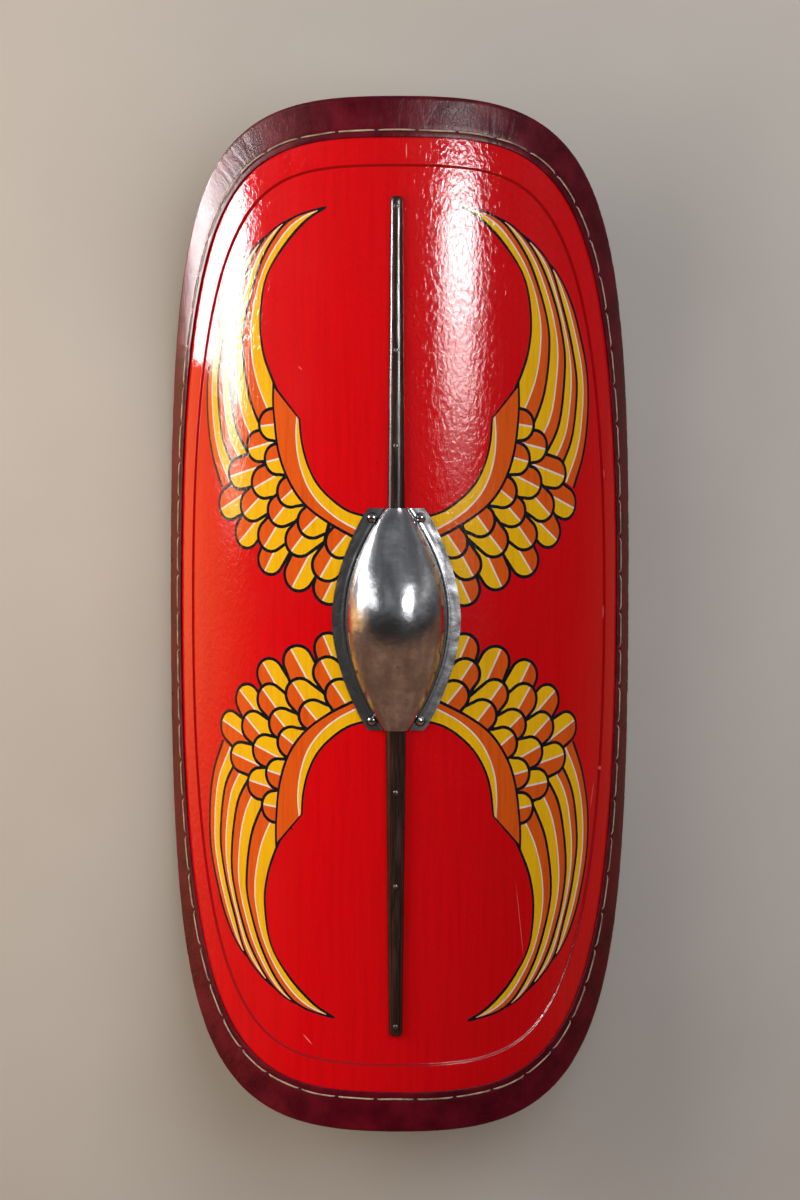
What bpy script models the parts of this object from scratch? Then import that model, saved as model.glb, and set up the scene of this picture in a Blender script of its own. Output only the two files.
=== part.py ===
"""A long curved Roman shield of the oval kind, lying on its two long edges with its painted face up.

Metres, +Z up. The shield's length runs along Y and its width across X. Its board, leather rim and threads
are laid out flat, as they would be before bending: u runs across the board from its middle, v along it, and
t out through its painted face. They are then bent round the same narrow flat facets of one cylinder, so that
they stay parallel to each other. The empty named shield lifts everything until the rim rests at z = 0.
"""

import math

import bmesh
import bpy
from mathutils import Matrix, Vector

# Whole shield
LENGTH = 1.200
ARC_WIDTH = 0.752
CURVE_RADIUS = 0.290
SIDE_POWER = 3.2
END_POWER = 2.2
FACET_WIDTH = 0.025
OUTLINE_STEPS = 16
TOUCH_GAP = 0.0003
RIM_ROOM = 0.0008
FLAT_DEPTH = 0.0007

# Board
BOARD_THICKNESS = 0.0090
BORDER_WIDTH = 0.0290
BORDER_RAISE = 0.0020
BORDER_SLOPE = 0.0050
HAND_HOLE_WIDTH = 0.098
HAND_HOLE_LENGTH = 0.128

# Leather rim and its thread
LEATHER_THICKNESS = 0.0024
RIM_WIDTH = 0.0480
RIM_ROUNDNESS = 0.35
THREAD_INSET = 0.0080
THREAD_WIDTH = 0.0022

# Wooden spine, in two halves
SPINE_REACH = 0.485
SPINE_START = 0.104
SPINE_ROUNDNESS = 0.90
SPINE_SIDES = 16
UPPER_SPINE_WIDTH = 0.0205
UPPER_TIP_WIDTH = 0.0140
LOWER_SPINE_WIDTH = 0.0245
LOWER_TIP_WIDTH = 0.0160

# Steel boss
BOSS_LENGTH = 0.257
BOSS_WIDTH = 0.150
BOSS_END_WIDTH = 0.0640
BOSS_CHAMFER = 0.0070
DOME_WIDTH = 0.118
DOME_HEIGHT = 0.062
STEEL_THICKNESS = 0.0016
BOSS_SEAT = 0.0005
BOSS_FIT = 0.0008
FLANGE_POWER = 1.8
DOME_POWER = 2.0
DOME_RISE_POWER = 1.3
BOSS_ROWS = 20
DOME_COLUMNS = 14

# Boss rivets
RIVET_HEAD_WIDTH = 0.0107
RIVET_HEAD_HEIGHT = 0.0040
RIVET_SHANK_WIDTH = 0.0042
RIVET_TAIL_WIDTH = 0.0085
RIVET_TAIL_HEIGHT = 0.0025
RIVET_INSET = 0.0110
RIVET_SPREAD = 0.0552
RIVET_SIDES = 10
RIVET_SEAT = 0.0008
HOLE_CLEARANCE = 0.0004

# Grip bar behind the boss
GRIP_LENGTH = 0.200
GRIP_WIDTH = 0.030
GRIP_DEPTH = 0.024
GRIP_END_DEPTH = 0.010
GRIP_FINGER_ROOM = 0.004
GRIP_SECTIONS = 11
GRIP_SIDES = 12

# Nails
NAIL_HEAD_WIDTH = 0.0060
NAIL_HEAD_HEIGHT = 0.0016
NAIL_SHANK_WIDTH = 0.0026
NAIL_BITE = 0.0055
NAIL_SIDES = 6
SPINE_NAIL_START_INSET = 0.096
SPINE_NAIL_TIP_INSET = 0.011
SPINE_NAIL_SHARES = (0.0, 0.4, 1.0)
GRIP_NAIL_INSET = 0.022
GRIP_NAIL_SPREAD = 0.014

# Worked out from the sizes above
HALF_LENGTH = LENGTH / 2
HALF_ARC = ARC_WIDTH / 2
BOARD_EDGE = LEATHER_THICKNESS + RIM_ROOM
BORDER_EDGE = RIM_WIDTH + BORDER_WIDTH
FIELD_EDGE = BORDER_EDGE + BORDER_SLOPE
RIM_FRONT = BORDER_RAISE + TOUCH_GAP
RIM_BACK = -BOARD_THICKNESS - TOUCH_GAP
BOSS_END = BOSS_LENGTH / 2
RIVET_U = RIVET_SPREAD / 2
RIVET_V = BOSS_END - RIVET_INSET
BOARD_BACK = CURVE_RADIUS - BOARD_THICKNESS


def clear_scene():
    for obj in list(bpy.data.objects):
        bpy.data.objects.remove(obj, do_unlink=True)


def new_collection(name):
    collection = bpy.data.collections.new(name)
    bpy.context.scene.collection.children.link(collection)
    return collection


def new_material(name, color, roughness, metallic=0.0):
    material = bpy.data.materials.new(name)
    material.use_nodes = True
    shader = material.node_tree.nodes["Principled BSDF"]
    shader.inputs["Base Color"].default_value = (*color, 1.0)
    shader.inputs["Roughness"].default_value = roughness
    shader.inputs["Metallic"].default_value = metallic
    return material


clear_scene()
PARTS = new_collection("roman_scutum")
CUTTERS = new_collection("cutters")

PAINTED_RED = new_material("painted_red", (0.62, 0.012, 0.010), 0.28)
MAROON_LEATHER = new_material("maroon_leather", (0.095, 0.010, 0.018), 0.42)
WAXED_THREAD = new_material("waxed_thread", (0.50, 0.42, 0.28), 0.70)
DARK_WOOD = new_material("dark_wood", (0.022, 0.010, 0.007), 0.30)
POLISHED_STEEL = new_material("polished_steel", (0.56, 0.57, 0.58), 0.20, 1.0)
DARK_IRON = new_material("dark_iron", (0.16, 0.15, 0.14), 0.45, 1.0)
PALE_WOOD = new_material("pale_wood", (0.30, 0.17, 0.08), 0.55)

shield = bpy.data.objects.new("shield", None)
PARTS.objects.link(shield)


def outline_point(turn):
    """A point of the flat outline, at this share of a quarter turn from the side to the end."""
    angle = turn * math.pi / 2
    u = HALF_ARC * math.cos(angle) ** (2 / SIDE_POWER)
    v = HALF_LENGTH * math.sin(angle) ** (2 / END_POWER)
    return Vector((u, v))


def quarter_outline(steps):
    """Points along a quarter of the outline, nearest to each other where it bends most."""
    samples = [outline_point(i / 2000) for i in range(2001)]
    reach = [0.0]
    for a, b, c in zip(samples, samples[1:], samples[2:] + [samples[-1]]):
        bend = (b - a).angle(c - b, 0.0) if (c - b).length > 0 else 0.0
        reach.append(reach[-1] + (b - a).length / HALF_LENGTH + bend)
    chosen = []
    place = 0
    for i in range(steps + 1):
        while place < 2000 and reach[place] < reach[-1] * i / steps:
            place += 1
        chosen.append(samples[place])
    return chosen


def outline_stations():
    """The whole outline, counter-clockwise, as pairs of a point and the direction straight inwards."""
    quarter = quarter_outline(OUTLINE_STEPS)
    quarter[0] = Vector((HALF_ARC, 0.0))
    quarter[-1] = Vector((0.0, HALF_LENGTH))
    half = quarter + [Vector((-p.x, p.y)) for p in reversed(quarter[:-1])]
    points = half + [Vector((p.x, -p.y)) for p in reversed(half[1:-1])]
    stations = []
    for i, point in enumerate(points):
        along = points[(i + 1) % len(points)] - points[i - 1]
        stations.append((point, Vector((-along.y, along.x)).normalized()))
    return stations


STATIONS = outline_stations()


def flat_ring(inset, t):
    """The outline moved inwards by inset, at height t over the board's face."""
    return [Vector((*(point + inwards * inset), t)) for point, inwards in STATIONS]


def facet_angle(u):
    """The angle of the facet that holds u, from straight up."""
    return round(u / FACET_WIDTH) * FACET_WIDTH / CURVE_RADIUS


def bend(point):
    """Bends a flat point round the faceted cylinder, whose axis is the shield's own Y axis."""
    u, v, t = point
    facet = math.floor(u / FACET_WIDTH + 0.5)
    share = u / FACET_WIDTH + 0.5 - facet
    left = (facet - 0.5) * FACET_WIDTH / CURVE_RADIUS
    right = (facet + 0.5) * FACET_WIDTH / CURVE_RADIUS
    x = math.sin(left) * (1 - share) + math.sin(right) * share
    z = math.cos(left) * (1 - share) + math.cos(right) * share
    return Vector(((CURVE_RADIUS + t) * x, v, (CURVE_RADIUS + t) * z))


def bend_mesh(bm):
    """Cuts a flat mesh along the edges of the facets, then bends it."""
    widest = max(abs(vert.co.x) for vert in bm.verts)
    lines = int(widest / FACET_WIDTH + 0.5)
    for side in (-1, 1):
        for i in range(lines):
            everything = bm.verts[:] + bm.edges[:] + bm.faces[:]
            place = (side * (i + 0.5) * FACET_WIDTH, 0, 0)
            bmesh.ops.bisect_plane(bm, geom=everything, dist=1e-7, plane_co=place, plane_no=(1, 0, 0))
    for vert in bm.verts:
        vert.co = bend(vert.co)


def add_object(name, mesh, material, sharp_degrees=35):
    mesh.materials.append(material)
    mesh.shade_smooth()
    mesh.set_sharp_from_angle(angle=math.radians(sharp_degrees))
    obj = bpy.data.objects.new(name, mesh)
    obj.parent = shield
    PARTS.objects.link(obj)
    return obj


def add_cutter(name, bm):
    mesh = bpy.data.meshes.new(name)
    bmesh.ops.recalc_face_normals(bm, faces=bm.faces[:])
    bm.to_mesh(mesh)
    bm.free()
    cutter = bpy.data.objects.new(name, mesh)
    cutter.parent = shield
    cutter.hide_render = True
    cutter.display_type = "WIRE"
    CUTTERS.objects.link(cutter)
    return cutter


def cut(obj, cutter):
    modifier = obj.modifiers.new(cutter.name, "BOOLEAN")
    modifier.operation = "DIFFERENCE"
    modifier.solver = "EXACT"
    modifier.object = cutter


def loft(name, rings, closed):
    """A body through rings of points. An open one gets a face at each end, a closed one runs back to its start."""
    bm = bmesh.new()
    loops = [[bm.verts.new(point) for point in ring] for ring in rings]
    pairs = list(zip(loops, loops[1:]))
    if closed:
        pairs.append((loops[-1], loops[0]))
    else:
        bm.faces.new(loops[0])
        bm.faces.new(reversed(loops[-1]))
    for first, second in pairs:
        for i in range(len(first)):
            j = (i + 1) % len(first)
            bm.faces.new((first[j], first[i], second[i], second[j]))
    bmesh.ops.recalc_face_normals(bm, faces=bm.faces[:])
    return bm, bpy.data.meshes.new(name)


def bent_loft(name, rings, closed, material):
    bm, mesh = loft(name, rings, closed)
    bend_mesh(bm)
    bm.to_mesh(mesh)
    bm.free()
    return add_object(name, mesh, material)


def spine_width(v):
    """The spine's width at v, which tapers evenly from under the boss to each tip."""
    share = (abs(v) - SPINE_START) / (SPINE_REACH - SPINE_START)
    start, tip = (UPPER_SPINE_WIDTH, UPPER_TIP_WIDTH) if v > 0 else (LOWER_SPINE_WIDTH, LOWER_TIP_WIDTH)
    return start + (tip - start) * share


def spine_height(v):
    return spine_width(v) / 2 * SPINE_ROUNDNESS


def dome_half_width(v):
    """Half the width of the boss's dome inside, down to the channel that it holds over the spine."""
    middle = DOME_WIDTH / 2 - STEEL_THICKNESS
    end = spine_width(math.copysign(BOSS_END, v)) / 2 + BOSS_FIT
    return middle + (end - middle) * (abs(v) / BOSS_END) ** DOME_POWER


def dome_rise(v):
    """How high the dome's inside stands over the board along its middle."""
    end = spine_height(math.copysign(BOSS_END, v)) + BOSS_FIT
    swell = math.cos(math.pi / 2 * min(abs(v) / BOSS_END, 1.0)) ** DOME_RISE_POWER
    return end + (DOME_HEIGHT - STEEL_THICKNESS - end) * swell


def flange_half_width(v):
    """Half the width of the whole boss, with its four corners cut off."""
    shoulder = BOSS_END - BOSS_CHAMFER
    corner = BOSS_END_WIDTH / 2 + BOSS_CHAMFER * 0.75
    if abs(v) > shoulder:
        return corner - (abs(v) - shoulder) * 0.75
    return BOSS_WIDTH / 2 - (BOSS_WIDTH / 2 - corner) * (abs(v) / shoulder) ** FLANGE_POWER


def boss_point(column, v):
    """A point of the boss's inner side. Columns run from 0 to 1 over the dome, and from 1 to 2 over the flange."""
    side = math.copysign(1.0, column)
    foot = dome_half_width(v)
    if abs(column) > 1:
        reach = foot + (flange_half_width(v) - foot) * (abs(column) - 1)
        return bend((side * reach, v, BOSS_SEAT))
    edge = bend((side * foot, v, BOSS_SEAT))
    top = CURVE_RADIUS + BOSS_SEAT + dome_rise(v)
    across = math.sin(abs(column) * math.pi / 2)
    up = math.cos(abs(column) * math.pi / 2)
    return Vector((edge.x * across, v, edge.z + (top - edge.z) * up))


def boss_rows():
    shoulder = BOSS_END - BOSS_CHAMFER
    inner = [shoulder * (2 * i / (BOSS_ROWS - 1) - 1) for i in range(BOSS_ROWS)]
    return [-BOSS_END] + inner + [BOSS_END]


def boss_columns():
    half = DOME_COLUMNS // 2
    dome = [i / half for i in range(-half, half + 1)]
    return [-2.0, -1.5] + dome + [1.5, 2.0]


def make_board():
    rings = [
        flat_ring(FIELD_EDGE, 0.0),
        flat_ring(BORDER_EDGE, BORDER_RAISE),
        flat_ring(BOARD_EDGE, BORDER_RAISE),
        flat_ring(BOARD_EDGE, -BOARD_THICKNESS),
    ]
    board = bent_loft("board", rings, False, PAINTED_RED)
    bm = bmesh.new()
    depth = 4 * BOARD_THICKNESS
    bmesh.ops.create_cone(bm, cap_ends=True, segments=24, radius1=0.5, radius2=0.5, depth=1)
    bmesh.ops.scale(bm, vec=(HAND_HOLE_WIDTH, HAND_HOLE_LENGTH, depth), verts=bm.verts[:])
    bmesh.ops.translate(bm, vec=(0, 0, CURVE_RADIUS - BOARD_THICKNESS / 2), verts=bm.verts[:])
    cut(board, add_cutter("hand_hole_cutter", bm))
    return board


def rim_section(station):
    """The leather's outline across the edge at one station: over the face, round the edge and back behind."""
    point, inwards = station
    outside = RIM_FRONT + LEATHER_THICKNESS
    behind = RIM_BACK - LEATHER_THICKNESS
    middle = (outside + behind) / 2
    half = (outside - behind) / 2
    places = [(RIM_WIDTH, RIM_FRONT), (RIM_WIDTH, outside)]
    for degrees in (90, 50, 0, -50, -90):
        angle = math.radians(degrees)
        places.append((half * RIM_ROUNDNESS * (1 - math.cos(angle)), middle + half * math.sin(angle)))
    places += [(RIM_WIDTH, behind), (RIM_WIDTH, RIM_BACK)]
    places += [(LEATHER_THICKNESS, RIM_BACK), (LEATHER_THICKNESS, RIM_FRONT)]
    return [Vector((*(point + inwards * inset), t)) for inset, t in places]


def make_rim():
    rim = bent_loft("rim_leather", [rim_section(s) for s in STATIONS], True, MAROON_LEATHER)
    floor = min(vert.co.z for vert in rim.data.vertices) + FLAT_DEPTH
    bm = bmesh.new()
    depth = 4 * BOARD_THICKNESS
    bmesh.ops.create_cube(bm, size=1)
    bmesh.ops.scale(bm, vec=(2 * ARC_WIDTH, LENGTH, depth), verts=bm.verts[:])
    bmesh.ops.translate(bm, vec=(0, 0, floor - depth / 2), verts=bm.verts[:])
    cut(rim, add_cutter("floor_cutter", bm))
    shield.location.z = -floor


def make_thread(name, seat, outwards):
    """A thread all along the rim, lying on the leather."""
    near = seat + outwards * TOUCH_GAP
    far = near + outwards * THREAD_WIDTH
    inset = RIM_WIDTH - THREAD_INSET
    half = THREAD_WIDTH / 2
    rings = []
    for point, inwards in STATIONS:
        places = ((inset - half, near), (inset + half, near), (inset, far))
        rings.append([Vector((*(point + inwards * d), t)) for d, t in places])
    bent_loft(name, rings, True, WAXED_THREAD)


def make_spine_half(name, side):
    """A half-round bar that tapers to its tip, from a cone with its lower half cut away."""
    length = SPINE_REACH - SPINE_START
    bm = bmesh.new()
    bmesh.ops.create_cone(
        bm,
        cap_ends=True,
        segments=SPINE_SIDES,
        radius1=spine_width(side * SPINE_START) / 2,
        radius2=spine_width(side * SPINE_REACH) / 2,
        depth=length,
    )
    bmesh.ops.rotate(bm, matrix=Matrix.Rotation(-side * math.pi / 2, 3, "X"), verts=bm.verts[:])
    everything = bm.verts[:] + bm.edges[:] + bm.faces[:]
    sliced = bmesh.ops.bisect_plane(
        bm, geom=everything, dist=1e-7, plane_co=(0, 0, 0), plane_no=(0, 0, 1), clear_inner=True
    )
    edges = [item for item in sliced["geom_cut"] if isinstance(item, bmesh.types.BMEdge)]
    bmesh.ops.contextual_create(bm, geom=edges)
    bmesh.ops.recalc_face_normals(bm, faces=bm.faces[:])
    bmesh.ops.scale(bm, vec=(1, 1, SPINE_ROUNDNESS), verts=bm.verts[:])
    mesh = bpy.data.meshes.new(name)
    bm.to_mesh(mesh)
    bm.free()
    spine = add_object(name, mesh, DARK_WOOD)
    middle = (SPINE_REACH + SPINE_START) / 2
    spine.location = (0, side * middle, bend((0, 0, TOUCH_GAP)).z)
    return spine


def make_boss():
    rows = boss_rows()
    columns = boss_columns()
    bm = bmesh.new()
    bmesh.ops.create_grid(bm, x_segments=len(columns) - 1, y_segments=len(rows) - 1, size=0.5)
    for vert in bm.verts:
        column = columns[round((vert.co.x + 0.5) * (len(columns) - 1))]
        row = rows[round((vert.co.y + 0.5) * (len(rows) - 1))]
        vert.co = boss_point(column, row)
    bmesh.ops.recalc_face_normals(bm, faces=bm.faces[:])
    mesh = bpy.data.meshes.new("boss")
    bm.to_mesh(mesh)
    bm.free()
    boss = add_object("boss", mesh, POLISHED_STEEL, 50)
    solidify = boss.modifiers.new("thickness", "SOLIDIFY")
    solidify.thickness = STEEL_THICKNESS
    solidify.offset = 1.0
    solidify.use_even_offset = True
    return boss


def turned(name, profile, sides, material):
    """A small round piece from its outline, listed from top to bottom at +X, about its own Z axis."""
    mesh = bpy.data.meshes.new(name)
    edges = [(i, i + 1) for i in range(len(profile) - 1)]
    mesh.from_pydata([(x, 0, z) for x, z in profile], edges, [])
    obj = add_object(name, mesh, material)
    screw = obj.modifiers.new("turn", "SCREW")
    screw.steps = sides
    screw.render_steps = sides
    screw.use_merge_vertices = True
    screw.merge_threshold = 0.00001
    screw.use_smooth_shade = True
    return obj


def hole_cutter(name, width, sides, low, high, turn, place):
    """A straight round cutter from low to high along an axis that leans by turn about Y."""
    bm = bmesh.new()
    bmesh.ops.create_cone(
        bm, cap_ends=True, segments=sides, radius1=width / 2, radius2=width / 2, depth=high - low
    )
    bmesh.ops.translate(bm, vec=(0, 0, (high + low) / 2), verts=bm.verts[:])
    cutter = add_cutter(name, bm)
    cutter.location = place
    cutter.rotation_euler.y = turn
    return cutter


def make_rivet(number, u, v, board, boss):
    """A rivet that stands square to its facet, with its head on the flange and its tail behind the board."""
    seat = BOSS_SEAT + STEEL_THICKNESS + RIVET_SEAT
    back = -BOARD_THICKNESS - TOUCH_GAP
    head = RIVET_HEAD_WIDTH / 2
    shank = RIVET_SHANK_WIDTH / 2
    tail = RIVET_TAIL_WIDTH / 2
    profile = [
        (0.0, seat + RIVET_HEAD_HEIGHT),
        (head * 0.62, seat + RIVET_HEAD_HEIGHT * 0.80),
        (head, seat),
        (shank, seat),
        (shank, back),
        (tail, back),
        (tail * 0.60, back - RIVET_TAIL_HEIGHT),
        (0.0, back - RIVET_TAIL_HEIGHT),
    ]
    rivet = turned(f"boss_rivet_{number}", profile, RIVET_SIDES, POLISHED_STEEL)
    rivet.location = bend((u, v, 0.0))
    rivet.rotation_euler.y = facet_angle(u)
    width = RIVET_SHANK_WIDTH + 2 * HOLE_CLEARANCE
    name = f"rivet_cutter_{number}"
    reach = 2 * BOARD_THICKNESS
    cutter = hole_cutter(name, width, RIVET_SIDES, -reach, reach, facet_angle(u), rivet.location)
    cut(board, cutter)
    cut(boss, cutter)


def make_nail(name, place, length, upwards, pieces):
    """A nail through the first piece and into the second. Its head is at place, and its shank runs away from it."""
    head = NAIL_HEAD_WIDTH / 2
    shank = NAIL_SHANK_WIDTH / 2
    profile = [
        (0.0, NAIL_HEAD_HEIGHT),
        (head * 0.60, NAIL_HEAD_HEIGHT * 0.85),
        (head, 0.0),
        (shank, 0.0),
        (shank, -length),
        (0.0, -length),
    ]
    nail = turned(name, profile, NAIL_SIDES, DARK_IRON)
    nail.location = place
    nail.rotation_euler.y = 0.0 if upwards else math.pi
    width = NAIL_SHANK_WIDTH + 2 * HOLE_CLEARANCE
    low = -length - HOLE_CLEARANCE
    lean = nail.rotation_euler.y
    cutter = hole_cutter(f"{name}_cutter", width, NAIL_SIDES, low, NAIL_HEAD_HEIGHT, lean, place)
    for piece in pieces:
        cut(piece, cutter)


def make_spine_nails(spines, board):
    first = SPINE_START + SPINE_NAIL_START_INSET
    last = SPINE_REACH - SPINE_NAIL_TIP_INSET
    number = 0
    for side, spine in zip((1, -1), spines):
        for share in SPINE_NAIL_SHARES:
            reach = first + (last - first) * share
            number += 1
            top = TOUCH_GAP + spine_height(side * reach)
            place = bend((0, 0, top + TOUCH_GAP))
            place.y = side * reach
            make_nail(f"spine_nail_{number}", place, top + NAIL_BITE, True, (spine, board))


def board_back(x):
    """The height of the board's back above the cylinder's axis, over a point that far from the middle."""
    u = CURVE_RADIUS * math.asin(x / BOARD_BACK)
    return bend((u, 0, -BOARD_THICKNESS)).z


def grip_section(share):
    """The grip's outline across at this share of its half length, from -1 to 1."""
    x = share * GRIP_LENGTH / 2
    end = abs(share) ** 4
    bottom = board_back(GRIP_LENGTH / 2) - GRIP_END_DEPTH
    handle = min(bottom + GRIP_DEPTH, board_back(0) - GRIP_FINGER_ROOM)
    hole_edge = HAND_HOLE_WIDTH / GRIP_LENGTH
    lift = min(max((abs(share) - hole_edge * 0.85) / 0.2, 0.0), 1.0)
    top = handle + (board_back(0) + GRIP_FINGER_ROOM - handle) * lift
    middle = (top + bottom) / 2
    corners = 2.6 + 4 * end
    points = []
    for i in range(GRIP_SIDES):
        angle = 2 * math.pi * (i + 0.5) / GRIP_SIDES
        c, s = math.cos(angle), math.sin(angle)
        y = GRIP_WIDTH / 2 * math.copysign(abs(c) ** (2 / corners), c)
        z = (top - bottom) / 2 * math.copysign(abs(s) ** (2 / corners), s)
        points.append(Vector((x, y, middle + z)))
    return points


def make_grip(board):
    """A bar across the hand hole. Its ends are shaped to the board's back, from which it is nailed."""
    sections = [grip_section(2 * i / (GRIP_SECTIONS - 1) - 1) for i in range(GRIP_SECTIONS)]
    bm, mesh = loft("grip", sections, False)
    bm.to_mesh(mesh)
    bm.free()
    grip = add_object("grip", mesh, PALE_WOOD)
    reach = GRIP_LENGTH / 2 + 2 * FACET_WIDTH
    corners = [(-reach, RIM_BACK), (reach, RIM_BACK), (reach, GRIP_WIDTH), (-reach, GRIP_WIDTH)]
    rings = [[Vector((u, v, t)) for u, t in corners] for v in (-GRIP_WIDTH, GRIP_WIDTH)]
    bm, _ = loft("grip_bed", rings, False)
    bend_mesh(bm)
    cut(grip, add_cutter("grip_bed_cutter", bm))
    bottom = board_back(GRIP_LENGTH / 2) - GRIP_END_DEPTH
    number = 0
    for side in (-1, 1):
        for end in (-1, 1):
            number += 1
            x = side * (GRIP_LENGTH / 2 - GRIP_NAIL_INSET)
            place = Vector((x, end * GRIP_NAIL_SPREAD / 2, bottom - TOUCH_GAP))
            length = board_back(abs(x)) - place.z + NAIL_BITE
            make_nail(f"grip_nail_{number}", place, length, False, (grip, board))


def main():
    board = make_board()
    make_rim()
    make_thread("rim_thread_front", RIM_FRONT + LEATHER_THICKNESS, 1)
    make_thread("rim_thread_back", RIM_BACK - LEATHER_THICKNESS, -1)
    spines = (make_spine_half("spine_upper", 1), make_spine_half("spine_lower", -1))
    boss = make_boss()
    corners = ((-1, 1), (1, 1), (-1, -1), (1, -1))
    for number, (across, along) in enumerate(corners, 1):
        make_rivet(number, across * RIVET_U, along * RIVET_V, board, boss)
    make_spine_nails(spines, board)
    make_grip(board)


main()
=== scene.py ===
"""The looks of a long curved Roman shield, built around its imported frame.

Metres, +Z up. Most pieces are laid out flat, as they would be before the board was bent: u runs across the
shield from its middle, v along it, and t out through its painted face. bend() then rolls them round the
cylinder whose axis is parallel to Y. The painted wings are drawn flat too, in millimetres, in one quarter of
the board, and each quarter is drawn again by a slightly different hand.
"""

import math
import random

import bmesh
import bpy
import numpy as np
from mathutils import Matrix, Vector, noise
from mathutils.geometry import delaunay_2d_cdt


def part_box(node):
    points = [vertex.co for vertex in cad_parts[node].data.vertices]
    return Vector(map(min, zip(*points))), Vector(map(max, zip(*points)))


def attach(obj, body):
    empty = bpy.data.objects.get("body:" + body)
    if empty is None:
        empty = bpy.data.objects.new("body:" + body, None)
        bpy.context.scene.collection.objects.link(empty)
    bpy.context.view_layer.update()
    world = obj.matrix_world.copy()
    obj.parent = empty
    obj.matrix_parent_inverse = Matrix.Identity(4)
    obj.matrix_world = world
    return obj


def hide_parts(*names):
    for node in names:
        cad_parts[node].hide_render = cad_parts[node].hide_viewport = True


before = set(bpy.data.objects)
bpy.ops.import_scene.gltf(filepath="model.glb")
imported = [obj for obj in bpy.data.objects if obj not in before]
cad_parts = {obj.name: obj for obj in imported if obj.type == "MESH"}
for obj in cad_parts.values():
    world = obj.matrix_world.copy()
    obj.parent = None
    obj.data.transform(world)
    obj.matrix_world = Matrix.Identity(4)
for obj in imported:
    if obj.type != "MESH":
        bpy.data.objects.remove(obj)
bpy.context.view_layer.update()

# Sizes of the construction
MM = 0.001
LENGTH = 1.200
ARC_WIDTH = 0.752
CURVE_RADIUS = 0.290
SIDE_POWER = 3.2
END_POWER = 2.2
FACET_WIDTH = 0.025
TOUCH_GAP = 0.0003
RIM_ROOM = 0.0008
BOARD_THICKNESS = 0.0090
BORDER_WIDTH = 0.0290
BORDER_RAISE = 0.0020
BORDER_SLOPE = 0.0050
HAND_HOLE_WIDTH = 0.098
HAND_HOLE_LENGTH = 0.128
LEATHER_THICKNESS = 0.0024
RIM_WIDTH = 0.0480
RIM_ROUNDNESS = 0.35
THREAD_INSET = 0.0080
THREAD_WIDTH = 0.0022
SPINE_REACH = 0.485
SPINE_START = 0.104
SPINE_ROUNDNESS = 0.90
UPPER_SPINE_WIDTH = 0.0205
UPPER_TIP_WIDTH = 0.0140
LOWER_SPINE_WIDTH = 0.0245
LOWER_TIP_WIDTH = 0.0160
BOSS_LENGTH = 0.257
BOSS_WIDTH = 0.150
BOSS_END_WIDTH = 0.0640
BOSS_CHAMFER = 0.0070
CHAMFER_SLOPE = 0.75
DOME_WIDTH = 0.118
DOME_HEIGHT = 0.062
STEEL_THICKNESS = 0.0016
BOSS_SEAT = 0.0005
BOSS_FIT = 0.0008
FLANGE_POWER = 1.8
DOME_POWER = 2.0
DOME_RISE_POWER = 1.3
RIVET_HEAD_WIDTH = 0.0107
RIVET_HEAD_HEIGHT = 0.0040
RIVET_TAIL_WIDTH = 0.0085
RIVET_TAIL_HEIGHT = 0.0025
RIVET_INSET = 0.0110
RIVET_SPREAD = 0.0552
GRIP_LENGTH = 0.200
GRIP_WIDTH = 0.030
GRIP_DEPTH = 0.024
GRIP_END_DEPTH = 0.010
GRIP_FINGER_ROOM = 0.004
NAIL_HEAD_WIDTH = 0.0060
NAIL_HEAD_HEIGHT = 0.0016
SPINE_NAIL_START_INSET = 0.096
SPINE_NAIL_TIP_INSET = 0.011
SPINE_NAIL_SHARES = (0.0, 0.4, 1.0)
GRIP_NAIL_INSET = 0.022
GRIP_NAIL_SPREAD = 0.014

# Worked out from the sizes above and from the frame
HALF_LENGTH = LENGTH / 2
HALF_ARC = ARC_WIDTH / 2
BOARD_EDGE = LEATHER_THICKNESS + RIM_ROOM
BORDER_EDGE = RIM_WIDTH + BORDER_WIDTH
FIELD_EDGE = BORDER_EDGE + BORDER_SLOPE
RIM_FRONT = BORDER_RAISE + TOUCH_GAP
RIM_BACK = -BOARD_THICKNESS - TOUCH_GAP
BOSS_END = BOSS_LENGTH / 2
SPINE_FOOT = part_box("spine_upper")[0].z
LIFT = (CURVE_RADIUS + TOUCH_GAP) * math.cos(FACET_WIDTH / 2 / CURVE_RADIUS) - SPINE_FOOT
RNG = random.Random(79)


def bend(point):
    """Rolls a flat point, or an array of them, round the shield's cylinder."""
    u, v, t = np.asarray(point, float).T
    angle = u / CURVE_RADIUS
    radius = CURVE_RADIUS + t
    return np.stack([radius * np.sin(angle), v, radius * np.cos(angle) - LIFT], axis=-1)


def smooth_step(low, high, x):
    share = np.clip((x - low) / (high - low), 0.0, 1.0)
    return share * share * (3 - 2 * share)


def curve_through(points, spacing):
    """A smooth curve through these points, as points about that far apart."""
    points = np.asarray(points, float)
    padded = np.vstack([2 * points[0] - points[1], points, 2 * points[-1] - points[-2]])
    line = []
    for before, start, end, after in zip(padded, padded[1:], padded[2:], padded[3:]):
        steps = max(2, math.ceil(np.linalg.norm(end - start) / spacing))
        for i in range(steps):
            s = i / steps
            line.append(
                0.5
                * (
                    2 * start
                    + (end - before) * s
                    + (2 * before - 5 * start + 4 * end - after) * s**2
                    + (3 * start - before - 3 * end + after) * s**3
                )
            )
    line.append(points[-1])
    return np.array(line)


def lengths_along(line):
    return np.concatenate([[0.0], np.cumsum(np.linalg.norm(np.diff(line, axis=0), axis=1))])


def points_at(places, reach, line):
    """The points of a line that lie that far along it."""
    return np.stack([np.interp(places, reach, line[:, i]) for i in range(line.shape[1])], axis=-1)


def resampled(line, count):
    """The same line as that many evenly spaced points."""
    reach = lengths_along(line)
    return points_at(np.linspace(0, reach[-1], count), reach, line)


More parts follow.
